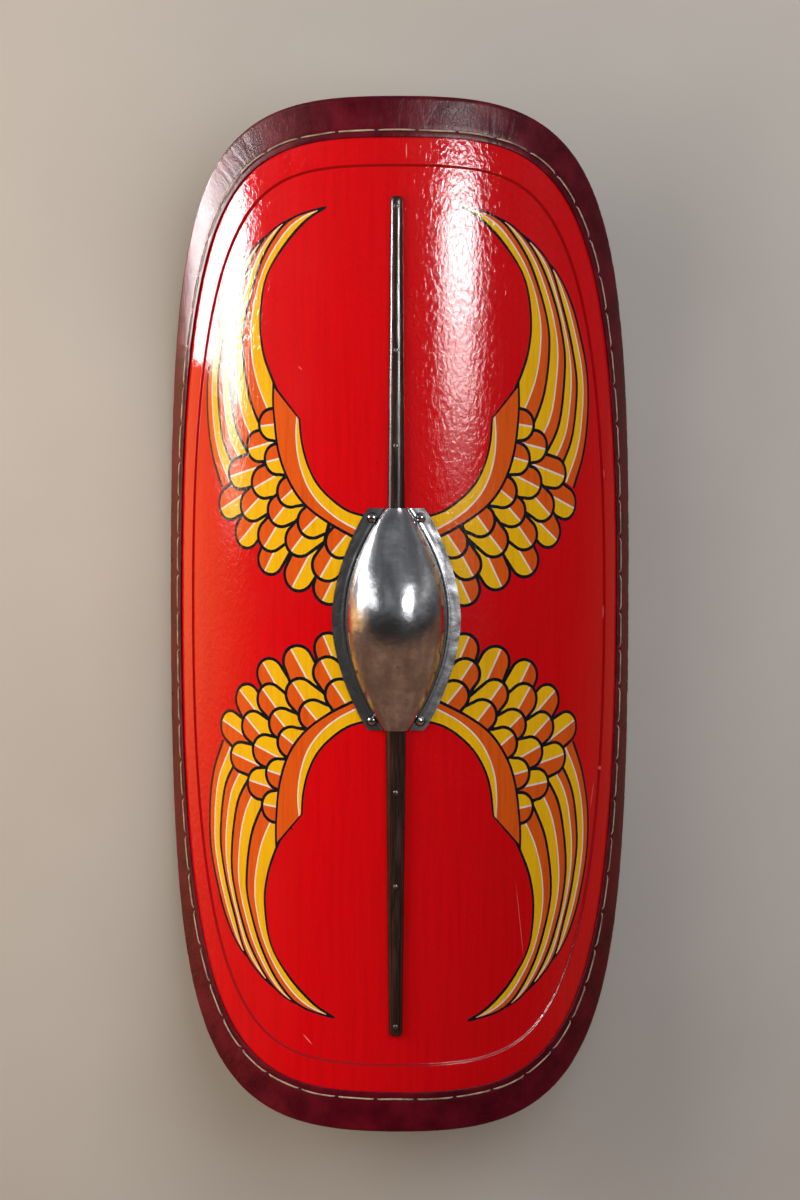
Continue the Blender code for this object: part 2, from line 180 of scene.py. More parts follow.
def grid_faces(rows, columns, ring=False, closed=True, start=0, turned=False):
    """The four-sided faces of a grid of points, row by row, with its first corner at that start.

    Each row joins its own ends where it is closed, and the last row meets the first where they form a ring.
    Turned faces look the other way."""
    faces = []
    for row in range(rows if ring else rows - 1):
        here = start + row * columns
        below = start + (row + 1) % rows * columns
        for i in range(columns if closed else columns - 1):
            j = (i + 1) % columns
            face = (here + i, below + i, below + j, here + j)
            faces.append(face[:1] + face[:0:-1] if turned else face)
    return faces


def tube_faces(rings, sides, start=0, turned=False):
    """The wall of a tube, and the two faces that close its ends."""
    first, last = (tuple(range(i, i + sides)) for i in (start, start + (rings - 1) * sides))
    ends = [first[::-1], last] if turned else [first, last[::-1]]
    return grid_faces(rings, sides, start=start, turned=turned) + ends


def add_object(name, data):
    obj = bpy.data.objects.new(name, data)
    bpy.context.scene.collection.objects.link(obj)
    return obj


def add_piece(name, mesh, nodes):
    obj = add_object(name, mesh)
    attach(obj, "root")
    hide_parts(*nodes)
    return obj


def keep_vectors(mesh, name, vectors):
    """Keeps a vector at each point of a mesh, for its materials to read."""
    attribute = mesh.attributes.new(name, "FLOAT_VECTOR", "POINT")
    attribute.data.foreach_set("vector", np.asarray(vectors, np.float32).ravel())


def finish_mesh(mesh, materials, sharp):
    for material in materials:
        mesh.materials.append(material)
    mesh.shade_smooth()
    mesh.set_sharp_from_angle(angle=math.radians(sharp))
    mesh.update()


def make_mesh(name, points, faces, materials, face_materials=None, flat=None, sharp=50):
    mesh = bpy.data.meshes.new(name)
    mesh.from_pydata([tuple(p) for p in points], [], faces)
    if face_materials is not None:
        mesh.polygons.foreach_set("material_index", face_materials)
    if flat is not None:
        keep_vectors(mesh, "flat", flat)
    finish_mesh(mesh, materials, sharp)
    return mesh


# Nodes and materials
class Nodes:
    """Short ways to add and link the nodes of one material, or of the world."""

    def __init__(self, owner, **values):
        """The values are for the shader's own sockets, whose names are written with _ for spaces."""
        self.material = bpy.data.materials.new(owner) if isinstance(owner, str) else owner
        self.material.use_nodes = True
        self.tree = self.material.node_tree
        self.shader = self.tree.nodes.get("Principled BSDF")
        for key, value in values.items():
            self.shader.inputs[key.replace("_", " ")].default_value = value

    def link(self, output, target):
        self.tree.links.new(output, target)

    def add(self, kind, inputs=None, **settings):
        """Adds a node. Each of its inputs is linked to an output, or set to a value."""
        node = self.tree.nodes.new(kind)
        for key, value in settings.items():
            setattr(node, key, value)
        for key, value in (inputs or {}).items():
            if isinstance(value, bpy.types.NodeSocket):
                self.link(value, node.inputs[key])
            else:
                node.inputs[key].default_value = value
        return node

    def attribute(self, name):
        return self.add("ShaderNodeAttribute", attribute_name=name).outputs["Vector"]

    def object_place(self):
        return self.add("ShaderNodeTexCoord").outputs["Object"]

    def axes(self, vector):
        """The X, Y and Z of a vector."""
        return self.add("ShaderNodeSeparateXYZ", {"Vector": vector}).outputs

    def stretched(self, vector, scale):
        return self.add("ShaderNodeMapping", {"Vector": vector, "Scale": scale}).outputs["Vector"]

    def noise(self, vector, scale, detail=3.0, roughness=0.5, distortion=0.0):
        grain = {"Scale": scale, "Detail": detail, "Roughness": roughness, "Distortion": distortion}
        return self.add("ShaderNodeTexNoise", {"Vector": vector, **grain}).outputs["Fac"]

    def ramp(self, value, low, high, low_value=0.0, high_value=1.0):
        limits = {"From Min": low, "From Max": high, "To Min": low_value, "To Max": high_value}
        node = self.add("ShaderNodeMapRange", {"Value": value, **limits}, interpolation_type="SMOOTHSTEP")
        return node.outputs["Result"]

    def band(self, value, start, full, fade, end):
        """Rises from 0 to 1 and falls to 0 again as the value passes these four limits."""
        return self.math("MULTIPLY", self.ramp(value, start, full), self.ramp(value, fade, end, 1.0, 0.0))

    def math(self, operation, first, second=0.0):
        return self.add("ShaderNodeMath", {0: first, 1: second}, operation=operation).outputs["Value"]

    def mix(self, share, first, second):
        """Each color is three numbers or an output."""
        first, second = ((*c, 1.0) if isinstance(c, tuple) else c for c in (first, second))
        return self.add("ShaderNodeMix", {0: share, 6: first, 7: second}, data_type="RGBA").outputs[2]

    def color(self, output):
        self.link(output, self.shader.inputs["Base Color"])

    def roughness(self, output):
        self.link(output, self.shader.inputs["Roughness"])

    def bump(self, *layers):
        """Each layer is a height output, its depth in metres and its strength."""
        under = {}
        for height, depth, strength in layers:
            inputs = {"Height": height, "Distance": depth, "Strength": strength, **under}
            under = {"Normal": self.add("ShaderNodeBump", inputs).outputs["Normal"]}
        self.link(under["Normal"], self.shader.inputs["Normal"])


def paint_surface(nodes):
    """The brush marks and the weave that show through every coat of paint, and its uneven gloss."""
    flat = nodes.attribute("flat")
    peel = nodes.noise(nodes.stretched(flat, (1.0, 0.60, 1.0)), 210, 3.0, 0.55, 0.6)
    strokes = nodes.noise(nodes.stretched(flat, (1.0, 0.045, 1.0)), 420, 2.0, 0.6)
    swell = nodes.noise(flat, 26, 2.0, 0.5)
    nodes.bump((swell, 0.0016, 0.22), (peel, 0.00075, 0.55), (strokes, 0.00012, 0.30))
    patches = nodes.noise(flat, 14, 4.0, 0.6)
    nodes.roughness(nodes.ramp(patches, 0.35, 0.75, 0.06, 0.11))
    return flat


def paint(name, color, shade):
    """A glossy paint. The shade is what the color turns to where the coat is thin."""
    nodes = Nodes(name, Specular_IOR_Level=0.4)
    flat = paint_surface(nodes)
    streaks = nodes.noise(nodes.stretched(flat, (1.0, 0.06, 1.0)), 190, 3.0, 0.6)
    nodes.color(nodes.mix(nodes.ramp(streaks, 0.40, 0.75, 0.0, 0.75), color, shade))
    return nodes.material


# Marks on the red paint, in millimetres laid flat: the middle, the half length and half width, the lean from
# upright in degrees, and how pale or dark the mark is
PALE = (0.86, 0.30, 0.26)
DULL = (0.20, 0.002, 0.004)
MARKS = (
    ((11, 537), (10.0, 0.8), 0, PALE, 0.8),
    ((-106, -495), (9.5, 0.8), -46, PALE, 0.7),
    ((152, -357), (52.0, 0.5), -7, PALE, 0.5),
    ((-115, 290), (3.6, 0.7), -48, PALE, 0.8),
    ((287, -187), (2.6, 2.0), 0, PALE, 0.5),
    ((292, 168), (6.0, 1.5), -12, PALE, 0.4),
    ((295, 1), (9.5, 1.2), 0, PALE, 0.4),
    ((272, -218), (18.0, 1.3), 13, PALE, 0.3),
    ((79, 412), (2.4, 2.2), 0, DULL, 0.9),
    ((69, 427), (1.1, 1.1), 0, DULL, 0.9),
    ((83, 431), (15.0, 0.6), 80, DULL, 0.8),
    ((-23, 181), (1.2, 1.2), 0, DULL, 0.9),
)


def marked(nodes, flat, base):
    """The scratches, spots and worn places that the paint shows."""
    for (u, v), (half_length, half_width), lean, tone, strength in MARKS:
        frame_of_mark = {
            "Vector": flat,
            "Location": (u * MM, v * MM, 0.0),
            "Rotation": (0.0, 0.0, -math.radians(lean)),
            "Scale": (half_width * MM, half_length * MM, 1.0),
        }
        spot = nodes.add("ShaderNodeMapping", frame_of_mark, vector_type="TEXTURE").outputs["Vector"]
        reach = nodes.add("ShaderNodeVectorMath", {0: spot}, operation="LENGTH").outputs["Value"]
        base = nodes.mix(nodes.ramp(reach, 0.55, 1.0, strength, 0.0), base, tone)
    return base


def red_paint():
    nodes = Nodes("red_paint", Specular_IOR_Level=0.4)
    flat = paint_surface(nodes)
    streaks = nodes.noise(nodes.stretched(flat, (1.0, 0.05, 1.0)), 150, 3.0, 0.6)
    clouds = nodes.noise(flat, 9, 3.0, 0.55)
    thin = nodes.ramp(streaks, 0.35, 0.75, 0.0, 0.6)
    base = nodes.mix(thin, (0.66, 0.0025, 0.0055), (0.54, 0.0015, 0.0045))
    base = nodes.mix(nodes.ramp(clouds, 0.40, 0.70, 0.0, 0.5), base, (0.60, 0.0040, 0.0055))
    specks = nodes.add("ShaderNodeTexVoronoi", {"Vector": flat, "Scale": 58}).outputs["Distance"]
    base = nodes.mix(nodes.ramp(specks, 0.030, 0.045, 0.55, 0.0), base, (0.22, 0.002, 0.003))
    # Painted shade: the border's step is darker all the way from its foot to its crest
    limits = (BORDER_RAISE * share for share in (0.002, 0.04, 0.96, 0.998))
    step_shade = nodes.band(nodes.axes(flat)["Z"], *limits)
    base = nodes.mix(nodes.math("MULTIPLY", step_shade, 0.80), base, (0.24, 0.001, 0.003))
    nodes.color(marked(nodes, flat, base))
    return nodes.material


def leather():
    """Maroon leather. Its fine creases run across the rim, where it was stretched over the edge."""
    nodes = Nodes("maroon_leather", Specular_IOR_Level=0.20)
    flat = nodes.attribute("flat")
    around = nodes.attribute("around")
    clouds = nodes.noise(flat, 24, 5.0, 0.6)
    base = nodes.mix(nodes.ramp(clouds, 0.35, 0.70), (0.066, 0.0013, 0.0065), (0.130, 0.0028, 0.0125))
    patch = nodes.ramp(nodes.noise(flat, 13, 2.0, 0.5), 0.35, 0.62)
    cracks = []
    for number, (scale, width) in enumerate(((55, 0.010), (130, 0.016))):
        creases = nodes.noise(nodes.stretched(around, (1.0, 0.30 + 0.2 * number, 1.0)), scale, 3.0, 0.55, 0.9)
        fold = nodes.math("ABSOLUTE", nodes.math("SUBTRACT", creases, 0.5))
        cracks.append(nodes.ramp(fold, 0.0, width, 1.0, 0.0))
    crack = nodes.math("MULTIPLY", nodes.math("MAXIMUM", *cracks), patch)
    nodes.color(nodes.mix(nodes.math("MULTIPLY", crack, 0.5), base, (0.030, 0.001, 0.004)))
    wrinkles = nodes.noise(nodes.stretched(around, (1.0, 0.45, 1.0)), 300, 3.0, 0.6, 0.8)
    pores = nodes.noise(flat, 900, 2.0, 0.6)
    nodes.roughness(nodes.ramp(clouds, 0.30, 0.75, 0.26, 0.38))
    nodes.bump((crack, 0.00040, -0.5), (wrinkles, 0.00070, 0.60), (pores, 0.00020, 0.35))
    return nodes.material


def thread_finish():
    nodes = Nodes("waxed_thread", Specular_IOR_Level=0.35)
    flat = nodes.attribute("flat")
    dirt = nodes.noise(flat, 60, 4.0, 0.6)
    nodes.color(nodes.mix(nodes.ramp(dirt, 0.35, 0.72), (0.50, 0.40, 0.29), (0.19, 0.14, 0.10)))
    twist = nodes.noise(nodes.stretched(flat, (1.0, 1.0, 0.2)), 1500, 1.0)
    nodes.roughness(nodes.ramp(dirt, 0.3, 0.8, 0.55, 0.8))
    nodes.bump((twist, 0.0003, 0.6))
    return nodes.material


def plainly_worn(nodes, wear, share, colors, rough, strength):
    """A plain finish. One noise gives its gloss and its bump, and the share how far its color changes."""
    nodes.color(nodes.mix(share, *colors))
    nodes.roughness(nodes.ramp(wear, 0.3, 0.7, *rough))
    nodes.bump((wear, 0.0002, strength))
    return nodes.material


def hole_shade_finish():
    nodes = Nodes("needle_hole_shade")
    wear = nodes.noise(nodes.attribute("flat"), 300, 2.0)
    # Painted shade: near-black standing for the shadowed inside of each needle hole
    return plainly_worn(nodes, wear, wear, ((0.012, 0.003, 0.004), (0.030, 0.008, 0.010)), (0.7, 0.9), 0.3)


def spine_finish():
    nodes = Nodes("dark_varnished_wood", Specular_IOR_Level=0.6)
    place = nodes.object_place()
    grain = nodes.noise(nodes.stretched(place, (1.0, 0.030, 1.0)), 520, 4.0, 0.65)
    broad = nodes.noise(nodes.stretched(place, (1.0, 0.10, 1.0)), 130, 3.0, 0.6)
    base = nodes.mix(nodes.ramp(grain, 0.35, 0.70), (0.010, 0.005, 0.004), (0.040, 0.018, 0.012))
    base = nodes.mix(nodes.ramp(broad, 0.52, 0.75, 0.0, 0.6), base, (0.060, 0.024, 0.016))
    nodes.color(base)
    nodes.roughness(nodes.ramp(broad, 0.30, 0.75, 0.16, 0.36))
    nodes.bump((broad, 0.0010, 0.35), (grain, 0.00020, 0.5))
    return nodes.material


def steel(name, tone, low, high):
    """Hand-polished steel, with fine streaks along the shield and darker, duller clouds."""
    nodes = Nodes(name, Metallic=1.0)
    place = nodes.object_place()
    clouds = nodes.noise(place, 34, 5.0, 0.65)
    stain = nodes.noise(place, 120, 4.0, 0.6)
    colors = ((0.44, 0.44, 0.46), (0.70, 0.71, 0.73), (0.20, 0.19, 0.19))
    dark, pale, stained = (tuple(tone * share for share in color) for color in colors)
    base = nodes.mix(nodes.ramp(clouds, 0.38, 0.68), dark, pale)
    base = nodes.mix(nodes.ramp(stain, 0.58, 0.76, 0.0, 0.55), base, stained)
    streaks = nodes.noise(nodes.stretched(place, (1.0, 0.05, 1.0)), 900, 2.0, 0.6)
    dents = nodes.noise(place, 110, 2.0, 0.5)
    swell = nodes.noise(place, 48, 2.0, 0.5)
    nodes.bump((swell, 0.0018, 0.22), (dents, 0.0010, 0.26), (streaks, 0.00014, 0.40))
    return nodes, base, nodes.ramp(clouds, 0.30, 0.72, high, low)


def boss_steel():
    """The boss's steel, with painted shade darkening the crease round its dome and a ring round each rivet."""
    nodes, base, rough = steel("polished_steel", 1.0, 0.15, 0.25)
    u, v, column = nodes.axes(nodes.attribute("flat"))
    # Painted shade: the crease at the foot of the dome is darkened
    crease = nodes.math("ABSOLUTE", nodes.math("SUBTRACT", column, 1.0))
    crease_shade = nodes.ramp(crease, 0.015, 0.075, 0.85, 0.0)
    # Painted shade: a dark ring on the flange round each rivet
    across = nodes.math("SUBTRACT", nodes.math("ABSOLUTE", u), RIVET_SPREAD / 2)
    along = nodes.math("SUBTRACT", nodes.math("ABSOLUTE", v), BOSS_END - RIVET_INSET)
    squares = nodes.math("ADD", nodes.math("POWER", across, 2.0), nodes.math("POWER", along, 2.0))
    reach = nodes.math("POWER", squares, 0.5)
    around = nodes.ramp(reach, RIVET_HEAD_WIDTH * 0.52, RIVET_HEAD_WIDTH * 0.66, 0.9, 0.0)
    nodes.color(nodes.mix(nodes.math("MAXIMUM", crease_shade, around), base, (0.035, 0.028, 0.024)))
    nodes.roughness(nodes.math("ADD", rough, nodes.ramp(column, 1.0, 1.1, 0.0, 0.06)))
    return nodes.material


def rivet_steel():
    nodes, base, rough = steel("rivet_steel", 0.80, 0.10, 0.18)
    nodes.color(base)
    nodes.roughness(rough)
    return nodes.material


def cut_steel():
    """The sheared edge of the boss's sheet, dark and much duller than its faces."""
    nodes = Nodes("cut_steel", Specular_IOR_Level=0.1)
    wear = nodes.noise(nodes.object_place(), 300, 3.0, 0.6)
    return plainly_worn(nodes, wear, wear, ((0.06, 0.055, 0.05), (0.16, 0.155, 0.15)), (0.75, 0.95), 0.3)


def dark_iron():
    nodes = Nodes("dark_iron", Metallic=1.0)
    rust = nodes.noise(nodes.object_place(), 400, 4.0, 0.6)
    colors = ((0.10, 0.09, 0.085), (0.26, 0.25, 0.24))
    return plainly_worn(nodes, rust, nodes.ramp(rust, 0.35, 0.7), colors, (0.30, 0.52), 0.4)


def linen():
    """The cloth glued over the back of the board, with a plain weave."""
    nodes = Nodes("glued_linen", Specular_IOR_Level=0.25)
    flat = nodes.attribute("flat")
    across = nodes.noise(nodes.stretched(flat, (1.0, 0.06, 1.0)), 900, 1.0)
    along = nodes.noise(nodes.stretched(flat, (0.06, 1.0, 1.0)), 900, 1.0)
    weave = nodes.math("MAXIMUM", across, along)
    glue = nodes.noise(flat, 8, 5.0, 0.6)
    base = nodes.mix(nodes.ramp(weave, 0.45, 0.72), (0.24, 0.17, 0.10), (0.52, 0.43, 0.30))
    nodes.color(nodes.mix(nodes.ramp(glue, 0.45, 0.68, 0.0, 0.55), base, (0.26, 0.17, 0.09)))
    nodes.roughness(nodes.ramp(glue, 0.4, 0.7, 0.85, 0.60))
    nodes.bump((glue, 0.0015, 0.25), (weave, 0.0005, 0.6))
    return nodes.material


def layered_wood():
    """The board's cut edge, where its thin layers of wood show as stripes."""
    nodes = Nodes("layered_wood", Specular_IOR_Level=0.3)
    flat = nodes.attribute("flat")
    layer = nodes.math("PINGPONG", nodes.axes(flat)["Z"], BOARD_THICKNESS / 6)
    stripe = nodes.ramp(layer, BOARD_THICKNESS / 18, BOARD_THICKNESS / 9)
    fibres = nodes.noise(nodes.stretched(flat, (1.0, 1.0, 6.0)), 420, 4.0, 0.6)
    base = nodes.mix(stripe, (0.19, 0.10, 0.045), (0.44, 0.28, 0.14))
    nodes.color(nodes.mix(nodes.ramp(fibres, 0.35, 0.75, 0.0, 0.6), base, (0.16, 0.085, 0.04)))
    nodes.roughness(nodes.ramp(fibres, 0.3, 0.7, 0.6, 0.8))
    nodes.bump((fibres, 0.0004, 0.5))
    return nodes.material


def grip_finish():
    nodes = Nodes("handled_ash", Specular_IOR_Level=0.45)
    place = nodes.object_place()
    grain = nodes.noise(nodes.stretched(place, (0.045, 1.0, 1.0)), 520, 4.0, 0.6, 0.4)
    hand = nodes.noise(place, 26, 3.0, 0.5)
    base = nodes.mix(nodes.ramp(grain, 0.35, 0.7), (0.36, 0.20, 0.09), (0.19, 0.095, 0.04))
    nodes.color(nodes.mix(nodes.ramp(hand, 0.45, 0.7, 0.0, 0.6), base, (0.15, 0.075, 0.035)))
    nodes.roughness(nodes.ramp(hand, 0.3, 0.7, 0.55, 0.32))
    nodes.bump((grain, 0.0004, 0.4))
    return nodes.material


# The painted wings, in one quarter of the board, in millimetres
LINE = 3.9
WHITE_LINE = 2.1
CURVE_SPACING = 4.5
SCALE_RADIUS = 20.5
SCALE_SPREAD = 1.28
SCALE_STRAY = 1.2
HAND_WAVE = 45
HAND_STRAY = 0.9
BAND_EDGES = (
    ((12, 116), (32, 118), (55, 124.5), (76, 139), (93, 157), (105, 179), (111.5, 204), (114, 232)),
    ((26, 87), (47, 94), (81, 111.5), (110, 133), (131, 161.5), (143, 196), (148.5, 240), (148, 271)),
)
BAND_WHITE_SHARES = (0.68, 0.06)
BAND_STEPS = 55
FEATHER_EDGES = (
    ((136, 250), (150, 277), (161, 306), (165, 341), (157, 386), (133, 422), (101, 452.5), (72, 469)),
    ((160, 207), (183.5, 257), (192, 310), (187, 348), (165, 403), (138, 441), (113, 459), (72, 469)),
    ((180, 180), (207, 225), (217, 290), (210, 335), (191, 384), (166.5, 423.5), (141, 446.5), (114, 459)),
    ((204, 165), (229, 208), (237.5, 266), (229, 313), (213.7, 356), (195, 401), (171.5, 426), (146, 443)),
    ((232, 150), (251, 192), (259.5, 240), (256, 287), (240, 336), (222, 373), (204, 396.5), (182, 415.5)),
)
FEATHER_WHITE_SHARE = 0.54
# What share of their width the black lines of each feather keep at its tip
TIP_LINES = (0.85, 0.68, 0.62, 0.62)
# Each scale: its middle, then how far its white line and its own sides lean outwards, in degrees
SCALES = (
    ((79, 35, 24, 22), (117.5, 51, 27, 28), (156, 67.5, 34, 33), (190, 99, 51, 38), (218, 132.5, 66, 62)),
    ((81, 63.5, 33, 42), (116, 90, 37, 48), (155, 96.5, 38, 52), (180, 130, 52, 58), (200.5, 167.5, 74, 80)),
    ((66, 89, 36, 48), (100, 112.5, 43, 56), (139, 124.5, 45, 62), (163, 157.5, 70, 76), (171, 197.5, 80, 88)),
    (None, None, (126, 146, 56, 68), (144, 183.5, 76, 84), (150.5, 224, 83, 89)),
)
# How far each quarter's wing tip strays from the one above: right upper, left upper, left lower, right lower
TIP_SHIFTS = {(1, 1): (-1.0, 8.0), (-1, 1): (9.0, 6.0), (-1, -1): (-1.0, -1.5), (1, -1): (12.0, 2.5)}
TIP_REACH = 470.0


def between(first, second, share):
    return first + (second - first) * np.asarray(share)[..., None]


def ribbon(first, second, low, high):
    """The polygon between two matching lines, from one share of the way across to another."""
    return np.vstack([between(first, second, low), between(first, second, high)[::-1]])


def stripes(inner, outer, edge, low, high):
    """The yellow, the white line and the orange between two matching lines, inside their black ones."""
    yield "yellow", ribbon(inner, outer, edge, low)
    yield "white", ribbon(inner, outer, low, high)
    yield "orange", ribbon(inner, outer, high, 1 - edge)


def feather_shapes(inner, outer, tip_line):
    """One feather: a black crescent, with its stripes inside it."""
    tip = outer[-1]
    last = int(np.argmin(np.linalg.norm(inner - tip, axis=1)))
    count = max(20, int(lengths_along(outer)[-1] / CURVE_SPACING))
    inner = resampled(np.vstack([inner[:last], tip]), count)
    outer = resampled(outer, count)
    width = np.linalg.norm(outer - inner, axis=1)
    taper = tip_line + (1 - tip_line) * smooth_step(1.0, 0.70, np.linspace(0, 1, count))
    edge = LINE / 2 * taper / np.maximum(width, 0.01)
    yield "black", ribbon(inner, outer, -edge, 1 + edge)
    # Near the tip the black lines meet, with no room for stripes
    open_part = edge < 0.42
    inner, outer, edge, width, taper = (a[open_part] for a in (inner, outer, edge, width, taper))
    white = np.minimum(WHITE_LINE * taper / width, 0.35 * (1 - 2 * edge)) / 2
    middle = edge + (1 - 2 * edge) * FEATHER_WHITE_SHARE
    yield from stripes(inner, outer, edge, middle - white, middle + white)


def band_edges(count):
    return [resampled(curve_through(edge, CURVE_SPACING), count) for edge in BAND_EDGES]


BAND_MIDDLE = sum(band_edges(40)) / 2


def band_shapes():
    """The curved band that holds the scales. Its white line runs out towards its inner edge."""
    inner, outer = band_edges(BAND_STEPS + 1)
    width = np.linalg.norm(outer - inner, axis=1)
    edge = LINE / 2 / width
    yield "black", ribbon(inner, outer, -edge, 1 + edge)
    inner, outer, width, edge = (a[:-1] for a in (inner, outer, width, edge))
    white = WHITE_LINE / 2 / width
    low = np.maximum(np.linspace(*BAND_WHITE_SHARES, BAND_STEPS) + edge - white, edge)
    yield from stripes(inner, outer, edge, low, low + 2 * white)


def scale_outline(middle, lean, radius, tail):
    """A rounded scale. Its sides spread a little as they run from its round end in under the band."""
    along = np.array([-math.sin(lean), math.cos(lean)])
    side = np.array([math.cos(lean), math.sin(lean)])
    turns = np.linspace(0, math.pi, 17)
    arc = [middle + radius * (math.cos(a) * side - math.sin(a) * along) for a in turns]
    foot = [middle + tail * along + SCALE_SPREAD * radius * s * side for s in (-1, 1)]
    return np.array([*arc, *foot])


def cut_by_line(polygon, place, normal):
    """The part of a convex polygon on the side of a line that its normal points to."""
    kept = []
    reach = (polygon - place) @ normal
    for i in range(len(polygon)):
        j = (i + 1) % len(polygon)
        if reach[i] >= 0:
            kept.append(polygon[i])
        if reach[i] * reach[j] < 0:
            share = reach[i] / (reach[i] - reach[j])
            kept.append(polygon[i] + (polygon[j] - polygon[i]) * share)
    return np.array(kept)


def scale_shapes(u, v, line_lean, side_lean, rng):
    strays = [rng.uniform(-SCALE_STRAY, SCALE_STRAY) for _ in "uv"]
    middle = np.array([u, v]) + strays
    lean = math.radians(side_lean + rng.uniform(-4, 4))
    radius = SCALE_RADIUS + rng.uniform(-0.6, 0.6)
    tail = np.linalg.norm(BAND_MIDDLE - middle, axis=1).min() + 3.0
    yield "black", scale_outline(middle, lean, radius, tail)
    inside = scale_outline(middle, lean, radius - LINE, tail)
    turn = math.radians(line_lean + rng.uniform(-5, 5))
    outwards = np.array([math.cos(turn), math.sin(turn)])
    half = WHITE_LINE / 2
    yield "orange", cut_by_line(inside, middle + half * outwards, outwards)
    yield "yellow", cut_by_line(inside, middle - half * outwards, -outwards)
    strip = cut_by_line(inside, middle - half * outwards, outwards)
    yield "white", cut_by_line(strip, middle + half * outwards, -outwards)


def wing_shapes(rng):
    """Every painted area of one wing, in the order in which it was painted."""
    edges = [curve_through(edge, CURVE_SPACING) for edge in FEATHER_EDGES]
    for inner, outer, tip_line in zip(edges, edges[1:], TIP_LINES):
        yield from feather_shapes(inner, outer, tip_line)
    for rank in reversed(range(5)):
        for row in SCALES:
            if row[rank] is not None:
                yield from scale_shapes(*row[rank], rng)
    yield from band_shapes()


def hand_drawn(polygon, shift, seed):
    """Moves a polygon's points a little, as the hand that painted this quarter did."""
    moved = []
    for u, v in polygon:
        share = (v / TIP_REACH) ** 2
        spots = [Vector((u / HAND_WAVE, v / HAND_WAVE, seed + away)) for away in (0.5, 50.5)]
        stray_u, stray_v = (HAND_STRAY * noise.noise(spot) for spot in spots)
        moved.append((u + shift[0] * share + stray_u, v + shift[1] * share + stray_v))
    return moved


# The board
STATION_STEPS = 150
GRID_U = 9.0
GRID_V = 18.0
HOLE_STEPS = 20


def quarter_outline():
    """A quarter of the outline and the way straight inwards, evenly spaced, from the side to the end."""
    turns = np.linspace(0, math.pi / 2, 4001)
    u = HALF_ARC * np.cos(turns).clip(0) ** (2 / SIDE_POWER)
    v = HALF_LENGTH * np.sin(turns).clip(0) ** (2 / END_POWER)
    line = resampled(np.stack([u, v], axis=1), STATION_STEPS + 1)
    line[0] = (HALF_ARC, 0)
    line[-1] = (0, HALF_LENGTH)
    across = (line[:, 0] / HALF_ARC).clip(1e-9) ** (SIDE_POWER - 1) / HALF_ARC * SIDE_POWER
    along = (line[:, 1] / HALF_LENGTH).clip(0) ** (END_POWER - 1) / HALF_LENGTH * END_POWER
    inwards = -np.stack([across, along], axis=1)
    inwards /= np.linalg.norm(inwards, axis=1)[:, None]
    inwards[0] = (-1, 0)
    inwards[-1] = (0, -1)
    return line, inwards


QUARTER, QUARTER_INWARDS = quarter_outline()


def whole_outline():
    """The whole outline, counter-clockwise from the right side, with the way inwards at each point."""
    parts = []
    for points in (QUARTER, QUARTER_INWARDS):
        half = np.vstack([points, (points[:-1] * (-1, 1))[::-1]])
        parts.append(np.vstack([half, (half[1:-1] * (1, -1))[::-1]]))
    return parts


OUTLINE, INWARDS = whole_outline()
HOLE_HALF = CURVE_RADIUS * math.asin(HAND_HOLE_WIDTH / 2 / CURVE_RADIUS)
HOLE_TURNS = np.linspace(0, math.pi / 2, HOLE_STEPS + 1)
HOLE_QUARTER = np.stack([HOLE_HALF * np.cos(HOLE_TURNS), HAND_HOLE_LENGTH / 2 * np.sin(HOLE_TURNS)], axis=1)
HOLE_QUARTER[-1, 0] = 0.0
PAINTS = ("red", "black", "yellow", "white", "orange")
LINEN = len(PAINTS)
LAYERED = LINEN + 1


def counter_clockwise(polygon):
    after = np.roll(polygon, -1, axis=0)
    area = np.sum(polygon[:, 0] * after[:, 1] - after[:, 0] * polygon[:, 1])
    return polygon if area > 0 else polygon[::-1]


def divided(boundary, shapes):
    """A quarter of the board cut up along every shape's edge.

    Returns its points in metres, its triangles and the number of each triangle's paint."""
    limits = boundary.max(axis=0) / MM
    loops = [np.vstack([(0, 0), boundary / MM]), np.vstack([(0, 0), HOLE_QUARTER / MM])]
    loops += [counter_clockwise(np.asarray(polygon)) for _, polygon in shapes]
    points = np.vstack(loops)
    faces = []
    count = 0
    for loop in loops:
        faces.append(list(range(count, count + len(loop))))
        count += len(loop)
    inside = []
    for i in range(int(limits[0] / GRID_U) + 1):
        for j in range(int(limits[1] / GRID_V) + 1):
            inside.append((i * GRID_U, j * GRID_V))
    everything = [Vector(p) for p in np.vstack([points, inside])]
    verts, _, tris, _, _, owners = delaunay_2d_cdt(everything, [], faces, 0, 1e-5)
    kept = []
    paints = []
    for tri, owner in zip(tris, owners):
        if 0 not in owner or 1 in owner:
            continue
        top = max(owner)
        kept.append(tri)
        paints.append(PAINTS.index(shapes[top - 2][0]) if top > 1 else 0)
    return np.array([tuple(v) for v in verts]) * MM, kept, paints


